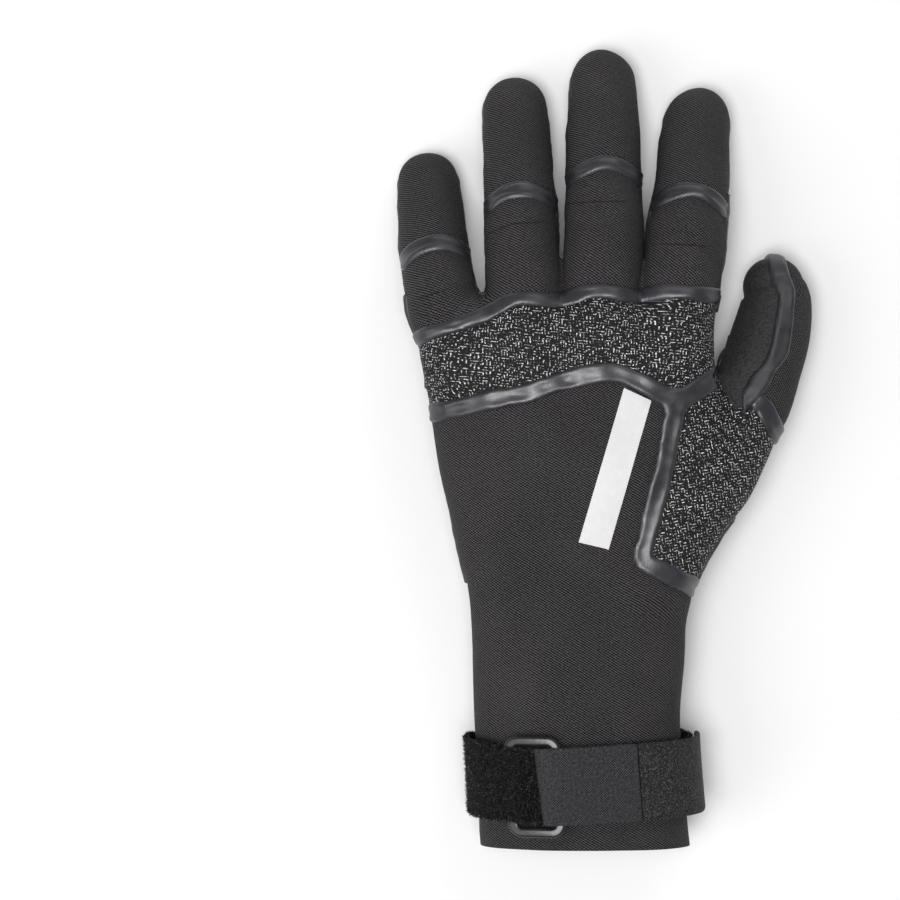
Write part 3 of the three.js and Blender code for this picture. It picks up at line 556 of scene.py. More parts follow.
# The jersey panels: fine warp-knit nylon bonded to the neoprene, over the back of the
# hand, round the little finger's side and over the finger backs. Each panel is cut from
# the skin, given its wall, and butts against its neighbours. The cut edge shows bare foam.
class Number:
    """One number on its way through a material, so that shader maths reads as a formula."""

    def __init__(self, finish, socket):
        self.finish = finish
        self.socket = socket

    def maths(operation, turned=False):
        """A method that joins this number with another one by one maths node."""
        def method(self, other=0.0):
            one, two = (other, self) if turned else (self, other)
            return self.finish.add("ShaderNodeMath", {"operation": operation}, {0: one, 1: two})
        return method

    __add__ = __radd__ = maths("ADD")
    __sub__ = maths("SUBTRACT")
    __rsub__ = maths("SUBTRACT", True)
    __mul__ = __rmul__ = maths("MULTIPLY")
    __truediv__ = maths("DIVIDE")
    __mod__ = maths("FLOORED_MODULO")
    __lt__ = maths("LESS_THAN")
    __gt__ = maths("GREATER_THAN")
    least = maths("MINIMUM")
    most = maths("MAXIMUM")
    wave = maths("SINE")
    floor = maths("FLOOR")
    size = maths("ABSOLUTE")

    def clear(self):
        """The number kept between 0 and 1."""
        return self.most(0.0).least(1.0)

    def other(self, name):
        """Another output of the same node."""
        return Number(self.finish, self.socket.node.outputs[name])


class Finish:
    """One material; every node but the shader and the output comes from add."""

    def __init__(self, name, **shader):
        self.material = bpy.data.materials.new(name)
        self.material.use_nodes = True
        self.tree = self.material.node_tree
        self.shader = self.tree.nodes["Principled BSDF"]
        for socket, value in shader.items():
            name = socket.replace("_", " ").title().replace("Ior", "IOR")
            self.shader.inputs[name].default_value = value

    def add(self, kind, settings=None, inputs=None, output=0):
        """A node with its settings and its inputs, linked where they are numbers from nodes."""
        node = self.tree.nodes.new(kind)
        for key, value in (settings or {}).items():
            setattr(node, key, value)
        for key, value in (inputs or {}).items():
            if isinstance(value, Number):
                self.tree.links.new(value.socket, node.inputs[key])
            else:
                node.inputs[key].default_value = value
        return Number(self, node.outputs[output])

    def cloth(self):
        """The cloth's own two directions, in millimetres: round the piece and along it."""
        place = self.add("ShaderNodeAttribute", {"attribute_name": "cloth"}, output="Vector")
        split = self.add("ShaderNodeSeparateXYZ", inputs={0: place})
        return place, split, split.other("Y")

    def solid(self):
        """The place in the piece, in millimetres."""
        place = self.add("ShaderNodeTexCoord", output="Object")
        return self.add("ShaderNodeVectorMath", {"operation": "SCALE"}, {0: place, "Scale": 1000.0})

    def noise(self, place, size, detail=2.0, roughness=0.5):
        """Soft noise between 0 and 1, with patches of about this size in millimetres."""
        inputs = {"Vector": place, "Scale": 1 / size, "Detail": detail, "Roughness": roughness}
        return self.add("ShaderNodeTexNoise", {}, inputs)

    def mix(self, share, one, other):
        return self.add("ShaderNodeMix", {"data_type": "RGBA"}, {0: share, 6: one, 7: other}, output=2)

    def set(self, socket, value):
        self.tree.links.new(value.socket, self.shader.inputs[socket])

    def bump(self, height, distance, strength=1.0):
        """Relief whose height runs over this distance in millimetres."""
        inputs = {"Height": height, "Distance": distance / 1000, "Strength": strength}
        self.set("Normal", self.add("ShaderNodeBump", {}, inputs))


def grey(value, warm=0.0):
    """A linear grey, a little warmer where asked."""
    return (value * (1 + warm), value, value * (1 - warm), 1.0)


def make_piece(name, points, faces, materials, node, marks=None, places=None, normals=None):
    """A mesh from points in rim millimetres and arrays of faces, riding in place of its node."""
    mesh = bpy.data.meshes.new(name)
    counts = np.concatenate([np.full(len(part), part.shape[1]) for part in faces])
    corners = np.concatenate([part.reshape(-1) for part in faces])
    mesh.vertices.add(len(points))
    mesh.vertices.foreach_set("co", ((points - ORIGIN) / 1000).astype(np.float32).reshape(-1))
    mesh.loops.add(len(corners))
    mesh.loops.foreach_set("vertex_index", corners.astype(np.int32))
    mesh.polygons.add(len(counts))
    starts = np.concatenate([[0], np.cumsum(counts)[:-1]])
    mesh.polygons.foreach_set("loop_start", starts.astype(np.int32))
    mesh.polygons.foreach_set("use_smooth", np.full(len(counts), True))
    for material in materials:
        mesh.materials.append(material)
    if marks is not None:
        mesh.polygons.foreach_set("material_index", marks.astype(np.int32))
    if places is not None:
        cloth = mesh.attributes.new("cloth", "FLOAT_VECTOR", "POINT")
        cloth.data.foreach_set("vector", places.astype(np.float32).reshape(-1))
    mesh.update(calc_edges=True)
    mesh.validate()
    if normals is not None and len(mesh.loops) == len(normals):
        mesh.normals_split_custom_set(normals.tolist())
    piece = bpy.data.objects.new(name, mesh)
    bpy.context.scene.collection.objects.link(piece)
    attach(piece, "root")
    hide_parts(node)


def walled(table, faces, top, bottom):
    """A closed piece from a patch of skin: its face moved out by top, a second face by bottom,
    and a wall along every edge that only one triangle has."""
    used, faces = np.unique(faces, return_inverse=True)
    faces, count = faces.reshape(-1, 3), len(used)
    heights = [np.reshape(height, (-1, 1)) for height in (top, bottom)]
    points = np.concatenate([(table[:, :3] + table[:, 3:6] * height)[used] for height in heights])
    edges = edges_of(faces)
    key = edges[:, 0] * count + edges[:, 1]
    lone = edges[~np.isin(key, edges[:, 1] * count + edges[:, 0])]
    wall = np.stack([lone[:, 1], lone[:, 0], lone[:, 0] + count, lone[:, 1] + count], axis=1)
    return points, [faces, faces[:, ::-1] + count, wall], used


def corner_normals(points, faces, top):
    """One normal a corner for a walled piece: smooth on its two faces, flat on its walls."""
    wall = points[faces[2]]
    flat = unit(np.cross(wall[:, 2] - wall[:, 0], wall[:, 3] - wall[:, 1]))
    below = np.zeros((len(points), 3))
    below[len(top):] = -top
    return np.concatenate([
        top[faces[0]].reshape(-1, 3), below[faces[1]].reshape(-1, 3), np.repeat(flat, 4, axis=0),
    ])


def around_hand(points, from_below):
    """Cloth directions on the hand: the arc length round its oval, and the way from the rim."""
    across, up, wide, thick = hand_at(points)
    if from_below:
        up = -up
    angle = np.arctan2(bent(up / thick, SQUARENESS / 2), bent(across / wide, SQUARENESS / 2))
    angle = (np.pi / 2 - angle + np.pi) % (2 * np.pi) - np.pi
    turns = np.linspace(-np.pi, np.pi, 361)
    number = np.interp(points[:, 1], hand_rows["y"], np.arange(len(hand_rows["y"])))
    x = bent(np.sin(turns), 2 / SQUARENESS) * hand_rows["half_width"][:, None]
    z = bent(np.cos(turns), 2 / SQUARENESS) * hand_rows["half_thickness"][:, None]
    steps = np.hypot(np.diff(x, axis=1, prepend=x[:, :1]), np.diff(z, axis=1, prepend=z[:, :1]))
    arc = np.cumsum(steps, axis=1)
    arc = arc - arc[:, 180:181]
    column = np.clip((angle + np.pi) / (2 * np.pi) * 360, 0, 359.999)
    low, row = column.astype(int), np.round(number).astype(int)
    reach = arc[row, low] + (column - low) * (arc[row, low + 1] - arc[row, low])
    return np.stack([reach, points[:, 1], np.full(len(points), NO_CREASE)], axis=1)


def around_tube(points, form):
    """Cloth directions on a finger: the arc length round its mean section, and along it."""
    _, across, up, reach, wide, thick = tube_at(points, form)
    angle = np.arctan2(across / wide, up / thick)
    return np.stack([angle * (wide.mean() + thick.mean()) / 2, reach, from_crease(points)], axis=1)


jersey = Finish("nylon_jersey", roughness=0.7, specular_ior_level=0.2)
place, round_it, along_it = jersey.cloth()
crease = along_it.other("Z").size()
wobble = jersey.noise(place, 9.0) * 4.0
ribs = ((round_it * 0.62 + along_it) * 6.5 + wobble).wave()
cross = ((round_it * -0.62 + along_it) * 6.5 + wobble).wave()
weave = (ribs * 0.65 + cross * 0.35) * 0.5 + 0.5
patches = jersey.noise(place, 22.0, 3.0)
fluff = jersey.noise(place, 0.9, 3.0, 0.7)
# painted shade: along each crease the cloth's colour is darkened, besides the crease's bump
groove = (1.0 - crease / 0.3).most(0.0) * (fluff * 1.6 - 0.1)
shade = (weave - 0.5) * 2.2 + (fluff - 0.5) * 2.3 + (patches - 0.5) * 0.5 + 0.36 - groove * 0.8
jersey.set("Base Color", jersey.mix(shade.clear(), grey(0.001), (0.085, 0.08, 0.083, 1)))
jersey.set("Roughness", 0.8 - weave * 0.15)
jersey.bump(weave + fluff * 0.4 - groove * 2.0, 0.35)

foam = Finish("neoprene_foam", roughness=0.9, specular_ior_level=0.2)
place = foam.solid()
foam.set("Base Color", foam.mix(foam.noise(place, 0.5, 3.0), grey(0.008), grey(0.035)))
foam.bump(foam.noise(place, 0.35, 2.0), 0.15)

NO_CREASE = 9.0
CREASES = [  # short folds that the curl has pressed into the finger backs
    ((-60.1, 201.7), (-51.8, 204.4)), ((-35.6, 225.7), (-26.8, 228.9)),
    ((-27.0, 228.9), (-16.7, 229.4)), ((-6.5, 236.8), (13.9, 237.2)), ((28.7, 221.5), (42.6, 220.6)),
]


def from_crease(points):
    """Signed distance in plan from the nearest crease, growing past its ends."""
    best = np.full(len(points), NO_CREASE)
    for start, end in CREASES:
        way = np.array(end) - start
        length = np.hypot(*way)
        offset = points[:, :2] - start
        along = offset @ way / length
        beside_it = (way[0] * offset[:, 1] - way[1] * offset[:, 0]) / length
        past = np.maximum(np.maximum(-along, along - length), 0)
        distance = np.where(beside_it < 0, -1, 1) * (np.abs(beside_it) + 0.6 * past)
        best = np.where(np.abs(distance) < np.abs(best), distance, best)
    return best


skin = np.hstack([skin_points, skin_out])
JERSEY_PANELS = ["back_panel", "thumb_back_panel"]
JERSEY_PANELS += [f"{name}_{part}_panel" for name in FINGERS for part in ("back", "tip")]


def make_panel(name, material, cloth_of):
    """One panel of the shell: its patch of skin with the neoprene's wall inwards."""
    points, faces, used = walled(skin, skin_faces[face_panel == name], 0.0, -NEOPRENE)
    marks = np.concatenate([np.full(len(part), k > 0) for k, part in enumerate(faces)])
    places = np.tile(cloth_of(skin[used, :3]), (2, 1))
    normals = corner_normals(points, faces, skin[used, 3:])
    materials = [material, foam.material]
    make_piece(name + "_cloth", points, faces, materials, name, marks, places, normals)


for name in JERSEY_PANELS:
    finger = name.split("_")[0]
    if finger in tubes:
        make_panel(name, jersey.material, lambda points: around_tube(points, tubes[finger]))
    else:
        make_panel(name, jersey.material, lambda points: around_hand(points, False))

# The knit panels: a coarse basket knit over the knuckles, between the back and the thumb,
# and on the palm side of the wrist. Blocks of three upright stitches change places with
# blocks of two level ones; the glints on their threads are painted into the colour as pale strokes.
BLOCK_WIDTH = 3.1
BLOCK_HEIGHT = 2.0


def knit_finish(name, turn):
    """The basket knit, turned on the piece by an angle in radians."""
    knit = Finish(name, roughness=0.7, specular_ior_level=0.4)
    place, round_it, along_it = knit.cloth()
    bend = knit.noise(place, 6.0) * 1.3
    u = (round_it * np.cos(turn) + along_it * np.sin(turn) + bend) / BLOCK_WIDTH
    v = (round_it * -np.sin(turn) + along_it * np.cos(turn) + bend * 0.6) / BLOCK_HEIGHT
    row = v.floor()
    odd = (u.floor() + row) % 2.0
    x, y = u % 1.0, v % 1.0
    ragged = knit.noise(place, 0.9, 2.0, 0.6) * 0.35
    upright = ((x * 3.0 + ragged) % 1.0 - 0.5).size() < 0.17
    upright = upright * (y > ragged * 0.5)
    level = ((y * 2.0 + ragged) % 1.0 - 0.5).size() < 0.13
    level = level * (x > ragged * 0.4)
    stitch = odd * upright + (1.0 - odd) * level
    glint = knit.noise(place, 0.8, 2.0, 0.6)
    pale_specks = knit.noise(place, 0.4, 2.0, 0.7)
    # painted highlight: where the glint noise is high the stitches are coloured pale grey, and random
    # pale specks are added to them
    bright = (stitch * ((glint - 0.46) * 8.0) + (pale_specks - 0.66) * 2.0).clear()
    knit.set("Base Color", knit.mix(bright, grey(0.002), grey(0.85, 0.01)))
    knit.set("Roughness", 0.8 - bright * 0.25)
    knit.bump(stitch + glint * 0.5, 0.35)
    return knit.material


glint_knit = knit_finish("flecked_knit", -0.12)
glint_knit_turned = knit_finish("flecked_knit_turned", 1.75)
make_panel("knuckle_panel", glint_knit, lambda points: around_hand(points, False))
make_panel("thumb_gusset_panel", glint_knit_turned, lambda points: points)
make_panel("wrist_panel", glint_knit, lambda points: around_hand(points, True))

# The palm: a grip cloth printed with black rubber grain, in one piece over the palm and
# the four finger pads, and a second piece over the ball and the pad of the thumb.
grain = Finish("grip_grain", roughness=0.6, specular_ior_level=0.45)
place = grain.solid()
crumbs = grain.add(
    "ShaderNodeTexVoronoi", {"feature": "SMOOTH_F1"}, {"Vector": place, "Scale": 1.15, "Smoothness": 0.3}
)
pebble = 1.0 - crumbs
grit = grain.noise(place, 0.45, 3.0, 0.65)
# the colour is lighter towards each pebble's middle and where the grit is high
grain_lightness = (pebble * 0.5 + (grit - 0.5) * 1.6).clear()
grain.set("Base Color", grain.mix(grain_lightness, grey(0.003), grey(0.06)))
grain.set("Roughness", 0.5 + grit * 0.3)
grain.bump(pebble * 0.7 + grit * 0.5, 0.35)
for name in ("palm_panel", "thumb_palm_panel"):
    make_panel(name, grain.material, lambda points: points)

# The seam tapes: liquid rubber drawn over every glued joint, which sets as a smooth raised
# bead of slightly uneven width. They run over the knuckles, the back, the thumb, the palm
# and each finger joint, and one runs round the grip pads and down to the cuff.
TAPE_SEAT = 0.12
TAPE_CROWN = 1.45
KNUCKLE_TAPE = 2.8  # half the tapes' widths
BACK_TAPE = 3.6
THUMB_TAPE = 3.2
PALM_TAPE = 3.2
JOINT_TAPE = 3.1
EDGE_TAPE = 2.7
KNUCKLE_TAPE_END = 54  # and where some of them end
THUMB_TAPE_END = 60.5
PALM_TAPE_TOP = ((46, 54), (32, 16))  # its height at two places across the web
TAPE_EDGE = 2.4  # how far the other tapes stay off the side seam, under the tape round the pads
BARE_SEAM = 95.0  # on the thumb's side the seam is bare from the cuff to here
WEB_FOLD = ((47, 10.5), (173, 24), 24)  # the fold at the thumb's web: middles, half sizes, height


def finer(table, faces):
    """Every triangle split into four at the middles of its edges."""
    edges, number = np.unique(np.sort(edges_of(faces), axis=1), axis=0, return_inverse=True)
    ab, bc, ca = number.reshape(3, -1) + len(table)
    a, b, c = faces.T
    table = np.concatenate([table, table[edges].mean(1)])
    parts = ((a, ab, ca), (ab, b, bc), (ca, bc, c), (ab, bc, ca))
    return table, np.concatenate([np.stack(part, axis=1) for part in parts])


def patch_of(level, cuts=()):
    """The part of the skin where the level is above zero. Its triangles are split in four,
    or for a long piece only cut along some heights of the level."""
    faces = skin_faces[(level(skin[:, :3])[skin_faces] > -2).any(1)]
    used, faces = np.unique(faces, return_inverse=True)
    table, faces = skin[used], faces.reshape(-1, 3)
    if not cuts:
        table, faces = finer(table, faces)
    for height in (0.0, *cuts):
        table, faces = cut_along(table, faces, level(table[:, :3]) - height)
    return table, faces[level(table[faces, :3].mean(1)) > 0]


def make_patch(name, table, faces, top, bottom, material, slot, node):
    """A closed piece from a patch, shaded smooth over its raised face and flat on its walls."""
    points, faces, used = walled(table, faces, top, bottom)
    normals = corner_normals(points, faces, normals_of(points[:len(used)], faces[0]))
    make_piece(name, points, faces, [material], node, normals=normals)


def make_tape(name, half_width, level, rise=TAPE_CROWN, shoulder=0.8, groove=0.0, cuts=()):
    """A bead on the skin: a quarter circle rises over the shoulders, and the middle may sink."""
    table, faces = patch_of(level, cuts)
    inward = np.clip(level(table[:, :3]) / half_width, 0, 1)
    steep = np.clip(inward / shoulder, 0, 1)
    crown = np.sqrt(np.clip(1 - (1 - steep) ** 2, 0, 1)) - groove * np.clip(inward / 0.45 - 1, 0, 1)
    lumps = 1 + 0.16 * waves(table[:, :3], 12, 11) + 0.07 * waves(table[:, :3], 5, 12)
    top = TAPE_SEAT + rise * crown * lumps
    make_patch(name + "_bead", table, faces, top, 0.0, rubber.material, "seam_rubber", name + "_tape")


rubber = Finish("seam_rubber", roughness=0.3, specular_ior_level=0.85)
place = rubber.solid()
sheen_mottle = rubber.noise(place, 4.0, 4.0, 0.6)
specks = rubber.noise(place, 0.9, 3.0, 0.6)
# painted sheen, partly: the lighter mottling in the colour stands for the glossy rubber's blurred
# highlights as well as its uneven wear
rubber.set("Base Color", rubber.mix(sheen_mottle, (0.006, 0.006, 0.008, 1), (0.028, 0.0285, 0.036, 1)))
rubber.set("Roughness", 0.22 + sheen_mottle * 0.3 + specks * 0.1)
rubber.bump(sheen_mottle + specks * 0.2, 0.3, 0.35)


def uneven(points, half_width):
    """The half width of a hand-drawn bead, a little wider and narrower along its way."""
    return half_width * (1 + 0.09 * waves(points, 16, 5))


def off_seam(points, name, other=None, blend=3.0):
    """Distance in plan from a seam line, or from two, blended where they meet."""
    distance = np.abs(beside(points, seam_lines[name]))
    if other is None:
        return distance
    return smooth_least(distance, np.abs(beside(points, seam_lines[other])), blend)


def clear_of_edge(points, over=TAPE_EDGE):
    """How far inside the back's cloth each point is, past the edge tape."""
    return -palm_side(points) - over


def knuckle_level(points):
    """The half width less the distance from the knuckles' seam, up to the index finger's side."""
    level = uneven(points, KNUCKLE_TAPE) - off_seam(points, "knuckle")
    return least(level, clear_of_edge(points), KNUCKLE_TAPE_END - points[:, 0])


def back_level(points):
    """The half width less the distance from the back's seam or the gusset's."""
    level = uneven(points, BACK_TAPE) - off_seam(points, "back", "gusset")
    return least(level, clear_of_edge(points))


def thumb_level(points):
    """The half width less the distance from the thumb's seam, on the thumb only."""
    level = uneven(points, THUMB_TAPE) - off_seam(points, "thumb_joint")
    on_thumb = 3 - finger_levels(points)[:, -1]
    return least(level, points[:, 0] - THUMB_TAPE_END, clear_of_edge(points), on_thumb)


def palm_level(points):
    """The half width less the distance from the palm's two seams, below the web."""
    level = uneven(points, PALM_TAPE) - off_seam(points, "palm_thumb", "palm_wrist", 2.5)
    below_web = np.interp(points[:, 0], *PALM_TAPE_TOP) - points[:, 2]
    return least(level, below_web, palm_side(points) - TAPE_EDGE)


def edge_level(points):
    """The half width less the distance from the side seam, clear of the fold and bare seam."""
    half_width = np.interp(points[:, 0], [48, 56], [EDGE_TAPE, 3.5])
    level = uneven(points, half_width) - np.abs(palm_side(points))
    in_fold = points[:, 2] > WEB_FOLD[2]
    for k in range(2):
        in_fold = in_fold & (np.abs(points[:, k] - WEB_FOLD[k][0]) < WEB_FOLD[k][1])
    level = np.where(in_fold, -1.0, level)
    return np.minimum(level, np.maximum(-points[:, 0], points[:, 1] - BARE_SEAM))


def joint_level(name):
    """The level of a finger's own cross tape, from the distance to its joint."""
    def level(points):
        levels = finger_levels(points)
        own = levels[:, list(tubes).index(name)] - levels.min(1)
        level = uneven(points, JOINT_TAPE) - np.abs(past_joint(points, name))
        return least(level, clear_of_edge(points, 2.2), 2 - own)
    return level


make_tape("knuckle", KNUCKLE_TAPE, knuckle_level)
make_tape("back", BACK_TAPE, back_level, rise=1.15, shoulder=0.5)
make_tape("thumb", THUMB_TAPE, thumb_level, rise=1.15, shoulder=0.5)
make_tape("palm", PALM_TAPE, palm_level)
make_tape("edge", EDGE_TAPE, edge_level, cuts=(0.35, 0.95, 1.8))
for name in FINGERS:
    make_tape(name, JOINT_TAPE, joint_level(name), groove=0.45)

# The flat prints: a pale strip along the palm side of the wrist and a slanted white bar
# on the back of the hand, both pressed on as thin film and left plain.
LABEL = (5.4, 19.8, 59.0)  # left, right and length
PRINT_CORNERS = [(0.12, 0.838), (0.212, 0.815), (0.07, 0.547), (-0.031, 0.56)]
FILM = 0.3
FILM_SEAT = 0.02


def film_finish(name, low, high):
    """A thin print's material, between two colours where it is worn."""
    film = Finish(name, roughness=0.5, specular_ior_level=0.4)
    place = film.solid()
    worn = film.noise(place, 3.0, 4.0, 0.6)
    film.set("Base Color", film.mix(worn, low, high))
    film.set("Roughness", 0.42 + worn * 0.2)
    film.bump(film.noise(place, 0.6, 2.0), 0.05)
    return film.material


def label_level(points):
    """The distance inside the strip on the wrist."""
    left, right, length = LABEL
    x, y = points[:, 0], points[:, 1]
    return least(x - left, right - x, y - 0.3, length - y, palm_side(points) - 3)


def print_level(points):
    """The distance inside the bar's four edges, seen from above."""
    corners = np.array(PRINT_CORNERS) * (PALM_WIDTH, HAND_LENGTH)
    level = clear_of_edge(points, 3)
    for start, end in zip(corners, np.roll(corners, -1, axis=0)):
        way = unit(end - start)
        offset = points[:, :2] - start
        level = np.minimum(level, way[1] * offset[:, 0] - way[0] * offset[:, 1])
    return level


for slot, node, level, low, high in (
    ("label", "wrist_label", label_level, (0.24, 0.25, 0.27, 1), (0.4, 0.41, 0.44, 1)),
    ("print", "back_print", print_level, (0.6, 0.6, 0.6, 1), (0.72, 0.72, 0.72, 1)),
):
    name = slot + "_film"
    make_patch(name, *patch_of(level), FILM, FILM_SEAT, film_finish(name, low, high), slot, node)

# The wrist strap's pile half: a 28 mm band of loop fleece, folded round the ring's left
# bar, then laid round the little finger's side and the palm side. Short fibres stand on it.
STRAP_WIDTH = 28.0
PILE_THICKNESS = 2.0
WEB_THICKNESS = 1.8
STRAP_PLACE = 27.0
RING_DIP = 3.4
THUMB_SIDE_DIP = 70.0
PINKY_SIDE_DIP = 32.0
RING_ANGLE = 0.626 * np.pi
RING_THICKNESS = 2.6
GAP = 0.3
STRAP_GAP = 1.5
BAND_STEPS = 8
PILE_END = 34.5
PILE_ROWS = np.array([
    (-20, 0.05), (-13, 0), (-3, 0), (1.8, 0.12), (2.4, 0.36), (-0.6, 0.62), (-2.4, 1.15),
    (-3.4, 1.75), (-6.5, 2), (-12, 2), (-18, 1.75), (-23, 1.3), (-29, 0.55), (-34, 0.2),
    (-39, 0.12), (-44, 0.1), (-50, 0.1), (-57, 0.12),
    (-64, 0.12), (-71, 0.1), (-82, 0.05), (-94, 0.04), (-105, 0.05), (-114, 0.08), (-120, 0.1),
    (-126, 0.12), (-131, 0.12), (-136, 0.12), (-141, 0.1), (-148, 0.08), (-156, 0.04),
])


def wrist_point(angle, y):
    """The hand's oval at an angle from the thumb's side over the back, at y from the rim."""
    x, z, wide, thick = (np.interp(y, hand_rows["y"], hand_rows[name]) for name in HAND_SECTION)
    across = x + wide * bent(np.cos(angle), 2 / SQUARENESS)
    return np.stack([across, y + 0 * angle, z + thick * bent(np.sin(angle), 2 / SQUARENESS)], axis=-1)


wrist_angles = RING_ANGLE - np.linspace(0, 2 * np.pi, 721)
wrist_ring = wrist_point(wrist_angles, STRAP_PLACE)
wrist_reach = lengths_along(wrist_ring)
GIRTH = wrist_reach[-1]
wrist_way = unit(np.gradient(wrist_ring, axis=0))
PILE_ROWS = np.vstack([PILE_ROWS, (PILE_END - GIRTH, 0.02)])


def over_wrist(around, y, height):
    """The point at an arc length from the ring round the wrist, at y, and so far off it."""
    rest = around % GIRTH
    way = [np.interp(rest, wrist_reach, wrist_way[:, k]) for k in (0, 2)]
    out = np.stack([-way[1], 0 * rest, way[0]], axis=-1)
    point = wrist_point(np.interp(rest, wrist_reach, wrist_angles), y)
    return point + unit(out) * np.asarray(height)[..., None]


def layer_floor(layer):
    """The underside's height: 0 on the wrist, 1 on the pile, 2 over the ring."""
    on_pile = STRAP_GAP + PILE_THICKNESS + GAP
    return np.interp(layer, [-1, 0, 1, 2, 3], [
        2 * STRAP_GAP - on_pile, STRAP_GAP, on_pile, on_pile + RING_THICKNESS + GAP,
        on_pile + 2 * (RING_THICKNESS + GAP),
    ])


def strap_middle(around):
    """The strap's middle line, which the ring draws towards the rim."""
    rest = around % GIRTH
    away = np.minimum(rest / THUMB_SIDE_DIP, (GIRTH - rest) / PINKY_SIDE_DIP)
    return STRAP_PLACE - RING_DIP * np.maximum(0, 1 - away)


def rounded_bar(width, thickness, corner, steps):
    """The outline of a bar's section: four quarter circles, as offsets across and up."""
    turn = np.linspace(0, np.pi / 2, steps)
    arc = np.stack([np.cos(turn), np.sin(turn)], axis=1) * corner
    centre = np.array([width / 2 - corner, thickness / 2 - corner])
    quarters = []
    for k in range(4):
        cosine, sine = np.cos(k * np.pi / 2), np.sin(k * np.pi / 2)
        spin = np.array([[cosine, sine], [-sine, cosine]])
        sign = np.sign(np.array([1, 1]) @ spin)
        quarters.append(arc @ spin + centre * sign)
    return np.concatenate(quarters)


def closed_grid(grid, ends):
    """Faces of a grid of rings, row by row; open ends are closed with a middle point each."""
    rows, sides = grid.shape[:2]
    number = np.arange(rows * sides).reshape(rows, sides)
    low, high = (number[:-1], number[1:]) if ends else (number, np.roll(number, -1, axis=0))
    quads = np.stack([low, np.roll(low, -1, axis=1), np.roll(high, -1, axis=1), high], axis=-1)
    quads = quads.reshape(-1, 4)
    points = grid.reshape(-1, 3)
    if not ends:
        return points, [quads]
    first, last = number[0], number[-1]
    middle = np.stack([grid[0].mean(0), grid[-1].mean(0)])
    start = np.stack([np.full(sides, len(points)), np.roll(first, -1), first], axis=1)
    end = np.stack([np.full(sides, len(points) + 1), last, np.roll(last, -1)], axis=1)
    return np.concatenate([points, middle]), [quads, start, end]


def each_of(*columns):
    """Columns of one grid, spread to its shape and listed as rows of three."""
    return np.stack(np.broadcast_arrays(*columns), axis=-1).reshape(-1, 3)


def band(rows, thickness, width, ripple=0.0, skew=0.0):
    """A strap along rows of arc length and layer: a rounded bar's section carried along them."""
    path = smooth_rows(rows, BAND_STEPS * (len(rows) - 1))
    around, height = path[:, 0], layer_floor(path[:, 1]) + thickness / 2
    bar = rounded_bar(width, thickness, thickness * 0.42, 4)
    flat = np.linspace(width / 2 - thickness, thickness - width / 2, 12)
    top = np.stack([flat, np.full(12, thickness / 2)], axis=1)
    section = np.concatenate([bar[:4], top, bar[4:12], top * (-1, -1), bar[12:]])
    along, off = section[None, :, 0], section[None, :, 1]
    middle = over_wrist(around, strap_middle(around), height)
    way = unit(np.gradient(middle, axis=0) * (1, 0, 1))
    up = np.stack([-way[:, 2], 0 * around, way[:, 0]], axis=1)
    wobble = ripple * waves(np.stack([around, height, 0 * around], axis=1), 9, 4)
    y = strap_middle(around)[:, None] + along + wobble[:, None] * (along / width)
    slant = skew * np.clip(1 - np.abs(around - rows[:, 0].min()) / 9, 0, 1)
    place = around[:, None] - slant[:, None] * along
    grid = over_wrist(place, y, np.broadcast_to(height[:, None], y.shape))
    grid = grid + up[:, None, :] * off[..., None]
    points, faces = closed_grid(grid, True)
    places = each_of(along, lengths_along(middle)[:, None], off)
    places = np.concatenate([places, places[[0, -1]] * (0, 1, 0)])
    return points, faces, places, grid


fleece = Finish("loop_fleece", roughness=0.95, specular_ior_level=0.15)
place = fleece.solid()
tufts = ((fleece.noise(place, 0.9, 3.0, 0.7) - 0.42) * 4.0).clear()
fibre_glint = fleece.cloth()[2].other("Z")
# painted glints: fibres with a high random shine value are coloured pale grey, and the lighter tufts are
# partly painted glints as well
fleece.set("Base Color", fleece.mix(fibre_glint, fleece.mix(tufts, grey(0.001), grey(0.04)), grey(0.3, 0.05)))
fleece.bump(tufts, 0.9)
points, faces, places, grid = band(PILE_ROWS, PILE_THICKNESS - 0.4, STRAP_WIDTH - 0.8, ripple=0.8)
FIBRES = 26000
FIBRE_WIDTH = 0.13
FIBRE_SINK = 0.15
draw = np.random.default_rng(8)
row = draw.integers(0, len(grid) - 1, FIBRES)
column = draw.integers(0, grid.shape[1], FIBRES)
s, t = np.hsplit(draw.uniform(0, 1, (FIBRES, 2)), 2)
beyond = (column + 1) % grid.shape[1]
a, b, c, d = grid[row, column], grid[row + 1, column], grid[row, beyond], grid[row + 1, beyond]
root = (a * (1 - s) + b * s) * (1 - t) + (c * (1 - s) + d * s) * t
out = unit(np.cross(c - a, b - a))
lean = unit(out + draw.normal(size=(FIBRES, 3)) * 0.8)
beside_it = unit(np.cross(lean, draw.normal(size=(FIBRES, 3)))) * FIBRE_WIDTH
behind_it = np.cross(lean, beside_it)
tip = root + lean * draw.uniform(0.5, 1.5, (FIBRES, 1))
base = root - out * FIBRE_SINK
feet = [base + beside_it, base - beside_it * 0.5 + behind_it, base - beside_it * 0.5 - behind_it]
fibre = np.stack([*feet, tip], axis=1)
number = np.arange(FIBRES)[:, None] * 4 + len(points)
tri = np.concatenate([number + np.array(way) for way in ((0, 2, 1), (0, 1, 3), (1, 2, 3), (2, 0, 3))])
points = np.concatenate([points, fibre.reshape(-1, 3)])
shine = np.repeat(draw.uniform(0, 1, (FIBRES, 1)) ** 4, 4, axis=0)
places = np.concatenate([places * (1, 1, 0), shine * (0, 0, 1)])
faces = [*faces, tri]
make_piece("strap_fleece", points, faces, [fleece.material], "strap_pile", None, places)

